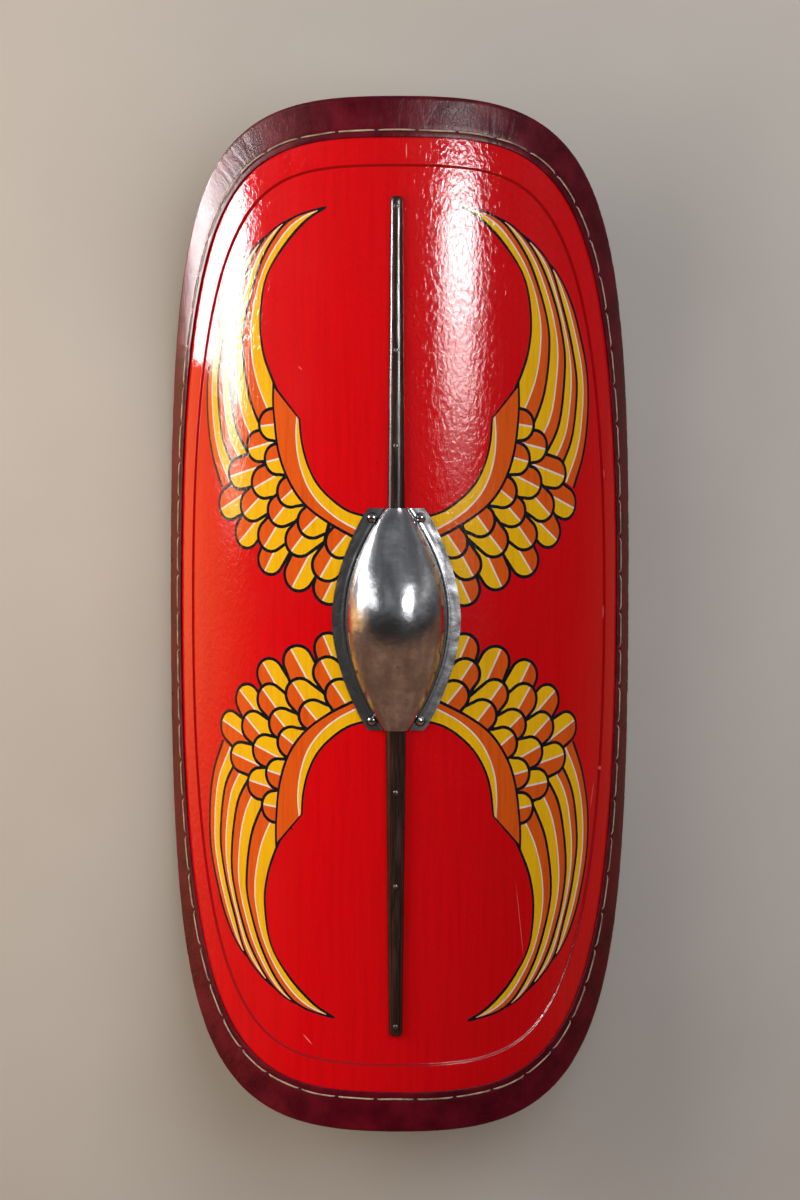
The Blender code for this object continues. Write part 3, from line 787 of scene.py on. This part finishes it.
class Patches:
    """Gathers flat points and faces, then welds them into one bent mesh."""

    def __init__(self):
        self.points = []
        self.faces = []
        self.materials = []

    def add(self, points, faces, materials, flip=False):
        start = len(self.points)
        self.points.extend(tuple(p) for p in points)
        for face, material in zip(faces, materials):
            face = [start + i for i in face]
            self.faces.append(face[::-1] if flip else face)
            self.materials.append(material)

    def strip(self, first, second, material, closed):
        """A row of faces between two lines of points."""
        faces = grid_faces(2, len(first), closed=closed, turned=True)
        self.add(np.vstack([first, second]), faces, [material] * len(faces))

    def build(self, name, materials):
        mesh = bpy.data.meshes.new(name)
        mesh.from_pydata(self.points, [], self.faces)
        mesh.polygons.foreach_set("material_index", self.materials)
        bm = bmesh.new()
        bm.from_mesh(mesh)
        bmesh.ops.remove_doubles(bm, verts=bm.verts[:], dist=2e-6)
        bmesh.ops.dissolve_degenerate(bm, edges=bm.edges[:], dist=1e-7)
        bm.to_mesh(mesh)
        bm.free()
        flat = np.zeros(len(mesh.vertices) * 3)
        mesh.vertices.foreach_get("co", flat)
        flat = flat.reshape(-1, 3)
        keep_vectors(mesh, "flat", flat)
        mesh.vertices.foreach_set("co", bend(flat).ravel())
        finish_mesh(mesh, materials, 50)
        return mesh, flat


def ring(inset, t):
    """The outline drawn in by that much, at that height."""
    return np.column_stack([OUTLINE + INWARDS * inset, np.full(len(OUTLINE), t)])


def make_board():
    patches = Patches()
    field = QUARTER + QUARTER_INWARDS * FIELD_EDGE
    back = QUARTER + QUARTER_INWARDS * BOARD_EDGE
    for number, (signs, shift) in enumerate(TIP_SHIFTS.items()):
        flip = signs[0] != signs[1]
        rng = random.Random(100 + number)
        shapes = [(paint_name, hand_drawn(p, shift, 7.3 * number)) for paint_name, p in wing_shapes(rng)]
        points, tris, paints = divided(field, shapes)
        patches.add(np.insert(points * signs, 2, 0.0, axis=1), tris, paints, flip)
        points, tris, _ = divided(back, [])
        points = np.insert(points * signs, 2, -BOARD_THICKNESS, axis=1)
        patches.add(points, tris, [LINEN] * len(tris), not flip)
        wall = np.insert(HOLE_QUARTER * signs, 2, 0.0, axis=1)
        if flip:
            wall = wall[::-1]
        patches.strip(wall - (0, 0, BOARD_THICKNESS), wall, LAYERED, False)
    rings = []
    for share in np.linspace(0, 1, 13):
        rise = BORDER_RAISE * smooth_step(0.15, 0.80, share)
        rings.append(ring(FIELD_EDGE - BORDER_SLOPE * share, rise))
    rings += [ring(BORDER_EDGE - i * BORDER_WIDTH / 4, BORDER_RAISE) for i in range(1, 5)]
    rings.append(ring(BOARD_EDGE, BORDER_RAISE))
    for first, second in zip(rings, rings[1:]):
        patches.strip(second, first, 0, True)
    patches.strip(ring(BOARD_EDGE, -BOARD_THICKNESS), rings[-1], LAYERED, True)
    finishes = [
        red_paint(),
        paint("black_paint", (0.006, 0.008, 0.014), (0.016, 0.018, 0.030)),
        paint("yellow_paint", (0.87, 0.50, 0.006), (0.78, 0.39, 0.004)),
        paint("white_paint", (0.80, 0.74, 0.68), (0.66, 0.56, 0.48)),
        paint("orange_paint", (0.72, 0.105, 0.008), (0.60, 0.070, 0.006)),
        linen(),
        layered_wood(),
    ]
    mesh, flat = patches.build("painted_board", finishes)
    set_field_normals(mesh, flat)
    return add_piece("painted_board", mesh, ["board"])


def whole_numbers(items, key):
    numbers = np.zeros(len(items), int)
    items.foreach_get(key, numbers)
    return numbers


def set_field_normals(mesh, flat):
    """Gives the painted field the true normals of the cylinder, so that its gloss runs smoothly."""
    chosen = flat[whole_numbers(mesh.loops, "vertex_index")]
    sizes = whole_numbers(mesh.polygons, "loop_total")
    paints = whole_numbers(mesh.polygons, "material_index")
    field = np.repeat((sizes == 3) & (paints < LINEN), sizes)
    turns = chosen[:, 0] / CURVE_RADIUS
    normals = np.column_stack([np.sin(turns), np.zeros(len(turns)), np.cos(turns)])
    normals[~field] = 0
    mesh.normals_split_custom_set([tuple(n) for n in normals])


# The leather rim
RIM_LIP = 0.0007
RIM_SINK = 0.0006
LEATHER_PLAY = 0.0001
GROOVE_DEPTH = 0.0007
GROOVE_SPREAD = 0.0019
GROOVE_REACH = 0.0036


def rim_section():
    """The leather's outline across the edge, as (inset, t) pairs: over its outside, then back inside it."""
    outside = RIM_FRONT + LEATHER_THICKNESS
    behind = RIM_BACK - LEATHER_THICKNESS
    half = (outside - behind) / 2
    top = outside - LEATHER_PLAY
    places = [(RIM_WIDTH, RIM_FRONT), (RIM_WIDTH + LEATHER_PLAY, RIM_FRONT + LEATHER_THICKNESS * 0.55)]
    places += [(RIM_WIDTH - RIM_LIP * 0.35, outside - RIM_LIP * 0.35), (RIM_WIDTH - RIM_LIP, top)]
    groove = RIM_WIDTH - THREAD_INSET
    for step in (2, 1, 0, -1, -2):
        away = step * GROOVE_REACH / 2
        places.append((groove + away, outside - GROOVE_DEPTH * math.exp(-((away / GROOVE_SPREAD) ** 2))))
    for i in range(1, 9):
        inset = (groove - GROOVE_REACH) + (half * RIM_ROUNDNESS - groove + GROOVE_REACH) * i / 9
        places.append((inset, top))
    for degrees in range(85, -90, -17):
        angle = math.radians(degrees)
        across = half * RIM_ROUNDNESS * (1 - math.cos(angle))
        places.append((across + RIM_SINK, (outside + behind) / 2 + half * math.sin(angle)))
    for i in range(1, 8):
        inset = half * RIM_ROUNDNESS + (RIM_WIDTH - half * RIM_ROUNDNESS) * i / 8
        places.append((inset, behind))
    places += [(RIM_WIDTH - RIM_LIP * 0.3, behind + RIM_LIP * 0.3), (RIM_WIDTH, RIM_BACK)]
    places += [(LEATHER_THICKNESS, RIM_BACK), (LEATHER_THICKNESS, RIM_FRONT)]
    return places


RIM_STATIONS = 1240
# How far up the shield the two strips of leather meet, and how the upper strip laps over the lower
JOINT_HEIGHT = 0.325
JOINT_LAP = 0.0007
JOINT_EASE = 0.030
EDGE_WANDER = 0.0009


def rim_stations():
    """Close-set stations round the outline, from the joint on its right side.

    Returns their places, their ways inwards and how far along the outline they are."""
    start = int(np.argmin(abs(OUTLINE[:STATION_STEPS, 1] - JOINT_HEIGHT)))
    line, inwards = (np.roll(part, -start, axis=0) for part in (OUTLINE, INWARDS))
    line, inwards = (np.vstack([part, part[:1]]) for part in (line, inwards))
    reach = lengths_along(line)
    places = np.linspace(0, reach[-1], RIM_STATIONS, endpoint=False)
    line, inwards = (points_at(places, reach, part) for part in (line, inwards))
    inwards /= np.linalg.norm(inwards, axis=1)[:, None]
    return line, inwards, places


def crease_depth(place, inset):
    """How deep the leather is creased there, from 0 to 1. The creases run across the rim."""
    patch = smooth_step(-0.05, 0.30, noise.noise(Vector((place * 9, inset * 9, 4.4))))
    fold = abs(noise.noise(Vector((place * 42, inset * 13, 1.9)), noise_basis="PERLIN_ORIGINAL"))
    return patch * math.exp(-((fold / 0.055) ** 2))


def make_rim():
    places = rim_section()
    line, inwards, reach = rim_stations()
    left_joint = reach[int(np.argmin(np.hypot(line[:, 0] + line[0, 0], line[:, 1] - line[0, 1])))]
    lap = JOINT_LAP * np.exp(-reach / JOINT_EASE)
    lap += JOINT_LAP * np.exp(-(left_joint - reach).clip(0) / JOINT_EASE) * (reach < left_joint)
    slow = np.array([noise.noise(Vector((u * 9, v * 9, 3.1))) for u, v in line])
    loops = []
    around = []
    for number, (inset, t) in enumerate(places):
        quick = np.array([noise.noise(Vector((u * 60, v * 60, inset * 60))) for u, v in line])
        creases = np.array([crease_depth(place, inset) for place in reach])
        at_edge = 1.0 if abs(inset - RIM_WIDTH) < 0.002 else 0.0
        # The leather's inner skin lies on the board, so only its outer skin is sunk and creased
        skin = 0.0 if number in (0, len(places) - 1, len(places) - 2, len(places) - 3) else 1.0
        insets = inset + at_edge * EDGE_WANDER * slow
        out = 1.0 if t > 0 else -1.0
        sunk = 0.00030 + 0.00022 * quick + 0.00045 * creases
        heights = t - out * skin * sunk + (lap * skin if t > 0 and inset > 0.004 else 0.0)
        loops.append(np.column_stack([line + inwards * insets[:, None], heights]))
        around.append(np.column_stack([reach, np.full(len(reach), inset), heights]))
    points = np.vstack(loops)
    bent = bend(points)
    bent[:, 2] = np.maximum(bent[:, 2], 0.0)
    faces = grid_faces(len(loops), len(line), ring=True)
    mesh = make_mesh("leather_rim", bent, faces, [leather()], flat=points, sharp=60)
    keep_vectors(mesh, "around", np.vstack(around))
    return add_piece("leather_rim", mesh, ["rim_leather"])


# Stitches
STITCH_PITCH = 0.046
STITCH_GAP = 0.0022
STITCH_SIDES = 8
STITCH_STEPS = 12
NEEDLE_HOLE_RADIUS = 0.0013
NEEDLE_HOLE_DEPTHS = (0.0001, 0.0005, 0.0020)


def needle_hole_shade(centre, seat, outwards):
    """The points of a dark disc of painted shade for a needle hole: its middle, its foot in the leather and
    the ring round it.
    """
    top, ring_depth, foot = NEEDLE_HOLE_DEPTHS
    points = [(*centre, seat - outwards * top), (*centre, seat - outwards * foot)]
    for s in range(STITCH_SIDES):
        angle = 2 * math.pi * s / STITCH_SIDES
        side = centre + NEEDLE_HOLE_RADIUS * np.array([math.cos(angle), math.sin(angle)])
        points.append((*side, seat - outwards * ring_depth))
    return points


def make_stitches(name, seat, outwards, nodes):
    """Long stitches laid end to end in the leather's groove, each diving into a needle hole at its ends."""
    line = OUTLINE + INWARDS * (RIM_WIDTH - THREAD_INSET)
    line, inwards = (np.vstack([part, part[:1]]) for part in (line, INWARDS))
    reach = lengths_along(line)
    number = round(reach[-1] / STITCH_PITCH)
    pitch = reach[-1] / number
    points = []
    faces = []
    paints = []
    for k in range(number):
        start = k * pitch
        shift = RNG.uniform(-0.0006, 0.0006)
        thick = THREAD_WIDTH / 2 * RNG.uniform(0.85, 1.0)
        faces += tube_faces(STITCH_STEPS + 1, STITCH_SIDES, len(points), turned=True)
        for i in range(STITCH_STEPS + 1):
            share = i / STITCH_STEPS
            place = start + STITCH_GAP + (pitch - 2 * STITCH_GAP) * share
            centre, way = (points_at(place, reach, part) for part in (line, inwards))
            ease = min(share, 1 - share) * STITCH_STEPS
            dive = max(0.0, 1 - ease) ** 2
            width = thick * (1 - 0.35 * dive)
            height = -0.0004 - 0.0016 * dive
            for s in range(STITCH_SIDES):
                angle = 2 * math.pi * s / STITCH_SIDES
                across = centre + way * (shift * math.sin(math.pi * share) + width * math.cos(angle))
                up = seat + outwards * (height + thick + thick * 0.85 * math.sin(angle))
                points.append((*across, up))
        paints += [0] * (len(faces) - len(paints))
        # Each stitch's start gets a dark disc of painted shade for its needle hole
        middle = len(points)
        points += needle_hole_shade(points_at(start, reach, line), seat, outwards)
        for s in range(STITCH_SIDES):
            here = middle + 2 + s
            after = middle + 2 + (s + 1) % STITCH_SIDES
            faces += [(middle, here, after), (middle + 1, after, here)]
            paints += [1, 1]
    if outwards < 0:
        faces = [face[::-1] for face in faces]
    points = np.array(points)
    mesh = make_mesh(name, bend(points), faces, [THREAD, NEEDLE_HOLE_SHADE], paints, points)
    return add_piece(name, mesh, nodes)


# The wooden spine
def spine_width(v):
    share = (abs(v) - SPINE_START) / (SPINE_REACH - SPINE_START)
    start, tip = (UPPER_SPINE_WIDTH, UPPER_TIP_WIDTH) if v > 0 else (LOWER_SPINE_WIDTH, LOWER_TIP_WIDTH)
    return start + (tip - start) * share


def spine_height(v):
    return spine_width(v) / 2 * SPINE_ROUNDNESS


def make_spine_half(name, side, seed):
    """A half-round bar, drawn out by hand with a knife: its faces wander and its tip is eased."""
    steps = 120
    arc = 22
    points = []
    ease = 0.004
    for i in range(steps + 1):
        share = i / steps
        reach = SPINE_START + (SPINE_REACH - SPINE_START) * (1 - (1 - share) ** 1.15)
        width = spine_width(side * reach) / 2
        tip = max(0.0, (reach - (SPINE_REACH - ease)) / ease)
        shrink = 1 - 0.16 * tip**2
        for j in range(arc + 1):
            angle = math.pi * j / arc
            lump = noise.noise(Vector((angle * 1.2, reach * 26, seed)))
            facet = noise.noise(Vector((angle * 2.5, reach * 7, seed + 4)))
            radius = width * (1 - 0.010 + 0.012 * lump + 0.012 * facet) * shrink
            u = radius * math.cos(angle)
            t = TOUCH_GAP + radius * SPINE_ROUNDNESS * math.sin(angle) * (1 - 0.12 * tip**2)
            points.append((u, side * reach, CURVE_RADIUS + t - LIFT))
    faces = tube_faces(steps + 1, arc + 1)
    if side < 0:
        faces = [face[::-1] for face in faces]
    mesh = make_mesh(name, points, faces, [SPINE_WOOD])
    return add_piece(name, mesh, [name.replace("carved_", "")])


# The steel boss
def dome_half_width(v):
    middle = DOME_WIDTH / 2 - STEEL_THICKNESS
    end = spine_width(math.copysign(BOSS_END, v)) / 2 + BOSS_FIT
    return middle + (end - middle) * (abs(v) / BOSS_END) ** DOME_POWER


def dome_rise(v):
    end = spine_height(math.copysign(BOSS_END, v)) + BOSS_FIT
    swell = math.cos(math.pi / 2 * min(abs(v) / BOSS_END, 1.0)) ** DOME_RISE_POWER
    return end + (DOME_HEIGHT - STEEL_THICKNESS - end) * swell


def flange_half_width(v):
    shoulder = BOSS_END - BOSS_CHAMFER
    corner = BOSS_END_WIDTH / 2 + BOSS_CHAMFER * CHAMFER_SLOPE
    if abs(v) > shoulder:
        return corner - (abs(v) - shoulder) * CHAMFER_SLOPE
    return BOSS_WIDTH / 2 - (BOSS_WIDTH / 2 - corner) * (abs(v) / shoulder) ** FLANGE_POWER


BOSS_DOME_STEPS = 96
BOSS_FLANGE_STEPS = 10
BOSS_ROW_STEPS = 190


def boss_point(column, v):
    """A point of the boss's outer side. Columns reach 1 at the dome's foot and 2 at the flange's edge."""
    side = math.copysign(1.0, column)
    foot = dome_half_width(v) + STEEL_THICKNESS
    seat = BOSS_SEAT + STEEL_THICKNESS
    dent = noise.noise(Vector((column * 3, v * 60, 8.8)))
    if abs(column) > 1:
        share = abs(column) - 1
        u = foot + (flange_half_width(v) - foot) * share
        bead = 0.0007 * math.exp(-(((u - foot - 0.0022) / 0.0012) ** 2))
        wave = 0.00045 * dent * smooth_step(0.1, 0.5, share)
        return bend((side * u, v, seat + bead + wave))
    edge = bend((side * foot, v, seat))
    top = CURVE_RADIUS - LIFT + seat + dome_rise(v)
    turn = abs(column) * math.pi / 2
    across = math.sin(turn)
    up = math.cos(turn)
    broad = noise.noise(Vector((column * 2.6, v * 32, 2.2)))
    small = noise.noise(Vector((column * 6.0, v * 70, 6.1)))
    sunk = (0.0005 + 0.0004 * broad + 0.00010 * small) * min(1.0, 2 * up)
    return np.array([edge[0] * across, v, edge[2] + (top - edge[2]) * up - sunk])


def mark_open_edges_sharp(mesh):
    """Keeps the sheet's cut edge crisp once it has its thickness."""
    bm = bmesh.new()
    bm.from_mesh(mesh)
    for edge in bm.edges:
        if edge.is_boundary:
            edge.smooth = False
    bm.to_mesh(mesh)
    bm.free()


def make_boss():
    half = BOSS_DOME_STEPS // 2
    dome = [math.copysign((abs(i) / half) ** 0.92, i) for i in range(-half, half + 1)]
    outer = [1 + (i / BOSS_FLANGE_STEPS) ** 1.5 for i in range(1, BOSS_FLANGE_STEPS + 1)]
    columns = [-c for c in reversed(outer)] + dome + outer
    shoulder = BOSS_END - BOSS_CHAMFER
    rows = [shoulder * (2 * i / BOSS_ROW_STEPS - 1) for i in range(BOSS_ROW_STEPS + 1)]
    chamfer = [shoulder + BOSS_CHAMFER * i / 4 for i in range(1, 5)]
    rows = [-v for v in reversed(chamfer)] + rows + chamfer
    points = [boss_point(column, v) for v in rows for column in columns]
    flat = []
    for (x, v, z), column in zip(points, columns * len(rows)):
        flat.append((CURVE_RADIUS * math.atan2(x, z + LIFT), v, abs(column)))
    faces = grid_faces(len(rows), len(columns), closed=False, turned=True)
    mesh = make_mesh("steel_boss", points, faces, [boss_steel(), cut_steel()], flat=flat, sharp=70)
    mark_open_edges_sharp(mesh)
    boss = add_piece("steel_boss", mesh, ["boss"])
    solid = boss.modifiers.new("thickness", "SOLIDIFY")
    solid.thickness = STEEL_THICKNESS
    solid.offset = -1.0
    solid.use_even_offset = True
    solid.material_offset_rim = 1
    return boss


# Small turned pieces
POINT_RADIUS = 0.00005
HEAD_SINK = 0.0002


def add_turned(name, profile, material, place, node, segments=32):
    """Adds a round piece from its outline, as (radius, height) from top to bottom, placed by a matrix."""
    points = []
    for radius, height in profile:
        for i in range(segments):
            angle = 2 * math.pi * i / segments
            points.append(place @ Vector((radius * math.cos(angle), radius * math.sin(angle), height)))
    mesh = make_mesh(name, points, tube_faces(len(profile), segments), [material])
    add_piece(name, mesh, [node])


def standing_at(u, v, t):
    """The matrix of a thing that stands square to the board's curve."""
    turn = Matrix.Rotation(u / CURVE_RADIUS, 4, "Y")
    return Matrix.Translation(Vector(bend((u, v, t)))) @ turn


def domed(radius, height, steps=8):
    """A rounded head's outline from its top to its rim."""
    angles = [math.pi / 2 * (1 - i / steps) for i in range(steps + 1)]
    return [(max(radius * math.cos(a), POINT_RADIUS), height * math.sin(a)) for a in angles]


def make_rivets():
    material = rivet_steel()
    seat = BOSS_SEAT + STEEL_THICKNESS
    back = -BOARD_THICKNESS - TOUCH_GAP
    head = RIVET_HEAD_WIDTH / 2
    tail = RIVET_TAIL_WIDTH / 2
    profile = [(r, seat + HEAD_SINK + h) for r, h in domed(head, RIVET_HEAD_HEIGHT)]
    profile += [(head * 0.98, seat - HEAD_SINK), (head * 0.4, seat - 2 * HEAD_SINK), (head * 0.4, back)]
    profile += [(tail, back), (tail * 0.96, back - RIVET_TAIL_HEIGHT * 0.5)]
    profile += [(tail * 0.55, back - RIVET_TAIL_HEIGHT), (POINT_RADIUS, back - RIVET_TAIL_HEIGHT)]
    for number, (across, along) in enumerate(((-1, 1), (1, 1), (-1, -1), (1, -1)), 1):
        place = standing_at(across * RIVET_SPREAD / 2, along * (BOSS_END - RIVET_INSET), 0.0)
        add_turned(f"domed_rivet_{number}", profile, material, place, f"boss_rivet_{number}")


def make_nails():
    """The nails of the spine, from the boss outwards in each half, and the four nails of the grip."""
    first = SPINE_START + SPINE_NAIL_START_INSET
    last = SPINE_REACH - SPINE_NAIL_TIP_INSET
    spine = []
    for side in (1, -1):
        for share in SPINE_NAIL_SHARES:
            reach = first + (last - first) * share
            top = TOUCH_GAP + spine_height(side * reach)
            spine.append(standing_at(0.0, side * reach, top - HEAD_SINK))
    grip = []
    bottom = board_back(GRIP_LENGTH / 2) - GRIP_END_DEPTH
    for side in (-1, 1):
        for end in (-1, 1):
            x = side * (GRIP_LENGTH / 2 - GRIP_NAIL_INSET)
            place = Matrix.Translation((x, end * GRIP_NAIL_SPREAD / 2, bottom + HEAD_SINK))
            grip.append(place @ Matrix.Rotation(math.pi, 4, "Y"))
    material = dark_iron()
    radius = NAIL_HEAD_WIDTH / 2
    profile = domed(radius, NAIL_HEAD_HEIGHT) + [(radius * 0.9, -3 * HEAD_SINK)]
    for kind, places in (("spine", spine), ("grip", grip)):
        for number, place in enumerate(places, 1):
            names = (f"{kind}_tack_{number}", f"{kind}_nail_{number}")
            add_turned(names[0], profile, material, place, names[1], 20)


# The grip: rounded in the hand and squarer where it lies on the board
GRIP_WAIST = 0.07
GRIP_ROUND_POWER = 2.4
GRIP_SQUARE_POWER = 4.0


def board_back(x):
    """The height of the board's back over a point that far from the middle."""
    return math.sqrt((CURVE_RADIUS - BOARD_THICKNESS) ** 2 - x**2) - LIFT


def grip_point(share, angle):
    x = share * GRIP_LENGTH / 2
    bottom = board_back(GRIP_LENGTH / 2) - GRIP_END_DEPTH
    handle = min(bottom + GRIP_DEPTH, board_back(0) - GRIP_FINGER_ROOM)
    shoulder = HAND_HOLE_WIDTH / GRIP_LENGTH * 0.85
    lift = smooth_step(shoulder, shoulder + 0.2, abs(share))
    top = handle + (board_back(0) + GRIP_FINGER_ROOM - handle) * lift
    power = 2 / (GRIP_ROUND_POWER + GRIP_SQUARE_POWER * abs(share) ** 4)
    c = math.cos(angle)
    s = math.sin(angle)
    waist = 1 - GRIP_WAIST * (1 - smooth_step(0.15, 0.5, abs(share)))
    y = GRIP_WIDTH / 2 * waist * math.copysign(abs(c) ** power, c)
    z = (top + bottom) / 2 + (top - bottom) / 2 * math.copysign(abs(s) ** power, s)
    if lift > 0:
        z = min(z, math.sqrt((CURVE_RADIUS + RIM_BACK) ** 2 - x**2) - LIFT)
    return (x, y, z)


def make_grip():
    sections = 90
    sides = 40
    points = []
    for i in range(sections + 1):
        for j in range(sides):
            points.append(grip_point(2 * i / sections - 1, 2 * math.pi * (j + 0.5) / sides))
    faces = tube_faces(sections + 1, sides, turned=True)
    mesh = make_mesh("wooden_grip", points, faces, [grip_finish()])
    return add_piece("wooden_grip", mesh, ["grip"])


# Floor, light and camera
FLOOR_REACH = 20.0


def make_floor():
    nodes = Nodes("pale_floor", Specular_IOR_Level=0.0)
    grain = nodes.noise(nodes.object_place(), 3, 3.0)
    nodes.color(nodes.mix(nodes.ramp(grain, 0.3, 0.7), (0.52, 0.50, 0.475), (0.55, 0.53, 0.505)))
    nodes.roughness(nodes.ramp(grain, 0.3, 0.7, 0.75, 0.85))
    corners = [(x * FLOOR_REACH, y * FLOOR_REACH, 0.0) for x, y in ((-1, -1), (1, -1), (1, 1), (-1, 1))]
    floor = add_object("floor", make_mesh("floor", corners, [(0, 1, 2, 3)], [nodes.material]))
    floor.visible_glossy = False


def add_light(name, place, target, size, power, color=(1.0, 1.0, 1.0), diffuse=True, glossy=True):
    """A soft panel that faces its target. The second of its sizes runs along the shield."""
    light = bpy.data.lights.new(name, "AREA")
    light.shape = "RECTANGLE"
    light.size, light.size_y = size
    light.energy = power
    light.color = color
    obj = add_object(name, light)
    obj.visible_camera = False
    obj.visible_diffuse = diffuse
    obj.visible_glossy = glossy
    obj.location = place
    back = (Vector(place) - Vector(target)).normalized()
    right = Vector((0.0, 1.0, 0.0)).cross(back).normalized()
    obj.rotation_euler = Matrix((right, back.cross(right), back)).transposed().to_euler()


def add_softbox(name, place, facing, width, bands):
    """A long panel that fades towards its lower end: each band is its middle, its length and its radiance.

    The place and the point that it faces are (x, z), because it runs along the shield."""
    for number, (middle, length, radiance) in enumerate(bands):
        power = radiance * math.pi * width * length
        spot = (place[0], middle, place[1])
        target = (facing[0], middle, facing[1])
        add_light(f"{name}_{number}", spot, target, (width, length), power, diffuse=False)


def make_lights():
    crown = (0.0, 0.15)
    low_bands = ((0.36, 0.16, 32), (0.225, 0.11, 10), (0.12, 0.10, 2.5))
    high_bands = ((0.54, 0.21, 40), (0.355, 0.16, 17))
    faint_bands = ((0.22, 0.11, 2.8), (0.115, 0.10, 0.6), (0.01, 0.11, 0.2))
    add_softbox("left_softbox", (-1.45, 0.20), crown, 0.38, ((0.54, 0.20, 52),))
    add_softbox("left_low_softbox", (-1.45, 0.14), crown, 0.26, low_bands)
    add_softbox("left_floor_panel", (-0.64, 0.005), (-0.64, 1.0), 0.54, ((0.52, 0.14, 30), (0.38, 0.14, 21)))
    add_softbox("right_softbox", (0.66, 1.25), crown, 0.36, high_bands + faint_bands)
    # These light the shield without showing in its gloss
    middle = (0.0, 0.1, 0.10)
    warm = (1.0, 0.74, 0.46)
    cream = (1.0, 0.93, 0.84)
    add_light("left_reflector", (-1.90, 0.10, 0.85), (0.0, 0.0, 0.10), (1.20, 2.20), 21, warm, glossy=False)
    add_light("left_key", (-1.75, 0.75, 1.25), middle, (1.2, 1.2), 17, cream, glossy=False)
    add_light("overhead_fill", (1.00, 0.75, 2.10), middle, (2.0, 2.0), 30, glossy=False)


def make_world():
    """A dim studio: grey beyond the shield's upper end, dark over its middle, brown beyond its lower end.

    A broad pale wall high on the left and a faint one on the right show only in what slopes along the shield.
    An orange glow lies low on the left."""
    world = bpy.data.worlds.new("studio")
    bpy.context.scene.world = world
    nodes = Nodes(world)
    way = nodes.add("ShaderNodeTexCoord").outputs["Generated"]
    across, along, up = nodes.axes(way)
    blotches = nodes.ramp(nodes.noise(way, 2.6, 2.0, 0.5), 0.38, 0.62)
    grey = nodes.mix(blotches, (0.10, 0.10, 0.105), (0.24, 0.245, 0.255))
    brown = nodes.mix(blotches, (0.19, 0.095, 0.058), (0.27, 0.15, 0.095))
    lowered = nodes.math("ADD", along, nodes.math("MULTIPLY", up, 0.35))
    tone = nodes.mix(nodes.ramp(lowered, -0.24, -0.06), brown, (0.030, 0.027, 0.026))
    tone = nodes.mix(nodes.ramp(along, -0.10, 0.22), tone, grey)
    height = nodes.math("MULTIPLY", nodes.band(along, 0.16, 0.28, 0.36, 0.54), nodes.ramp(up, -0.30, -0.10))
    left = nodes.math("MULTIPLY", height, nodes.ramp(across, -0.80, -0.62, 1.0, 0.0))
    right = nodes.math("MULTIPLY", height, nodes.ramp(across, 0.80, 0.92))
    glow = nodes.band(along, -0.20, -0.02, 0.04, 0.14)
    glow = nodes.math("MULTIPLY", glow, nodes.ramp(up, -0.20, 0.42, 1.0, 0.0))
    glow = nodes.math("MULTIPLY", glow, nodes.ramp(across, -0.80, -0.50, 1.0, 0.0))
    tone = nodes.mix(glow, tone, (1.5, 0.78, 0.24))
    tone = nodes.mix(left, tone, (2.6, 2.6, 2.6))
    tone = nodes.mix(right, tone, (0.55, 0.54, 0.52))
    nodes.link(tone, nodes.tree.nodes["Background"].inputs["Color"])


CAMERA_DISTANCE = 3.0
CAMERA_PITCH = math.radians(3.206)
CAMERA_YAW = math.radians(1.012)
CAMERA_ROLL = math.radians(0.079)
CAMERA_FOCUS = 2599.5
CAMERA_SHIFT = (0.00438, 0.02257)
IMAGE_LENGTH = 1200
SENSOR = 36.0


def make_camera():
    """The camera looks down on the shield from where the photograph's camera stood before it."""
    level = math.cos(CAMERA_PITCH)
    back = Vector((math.sin(CAMERA_YAW) * level, math.sin(CAMERA_PITCH), math.cos(CAMERA_YAW) * level))
    right = Vector((math.cos(CAMERA_YAW), 0.0, -math.sin(CAMERA_YAW)))
    up = back.cross(right)
    cos, sin = math.cos(CAMERA_ROLL), math.sin(CAMERA_ROLL)
    turned = Matrix((right * cos + up * sin, up * cos - right * sin, back)).transposed()
    crown = Vector((0.0, 0.0, CURVE_RADIUS - LIFT))
    place = crown + back * CAMERA_DISTANCE + Vector((*CAMERA_SHIFT, 0.0))
    data = bpy.data.cameras.new("camera")
    data.sensor_width = SENSOR
    data.lens = CAMERA_FOCUS * SENSOR / IMAGE_LENGTH
    camera = add_object("camera", data)
    camera.matrix_world = Matrix.Translation(place) @ turned.to_4x4()
    bpy.context.scene.camera = camera


THREAD = thread_finish()
NEEDLE_HOLE_SHADE = hole_shade_finish()
SPINE_WOOD = spine_finish()


def main():
    make_camera()
    make_world()
    make_floor()
    make_lights()
    make_board()
    make_rim()
    make_stitches("front_stitches", RIM_FRONT + LEATHER_THICKNESS, 1, ["rim_thread_front"])
    make_stitches("back_stitches", RIM_BACK - LEATHER_THICKNESS, -1, ["rim_thread_back"])
    make_spine_half("carved_spine_upper", 1, 1.7)
    make_spine_half("carved_spine_lower", -1, 5.3)
    make_boss()
    make_rivets()
    make_nails()
    make_grip()
    bpy.context.scene.view_settings.view_transform = "Standard"


main()
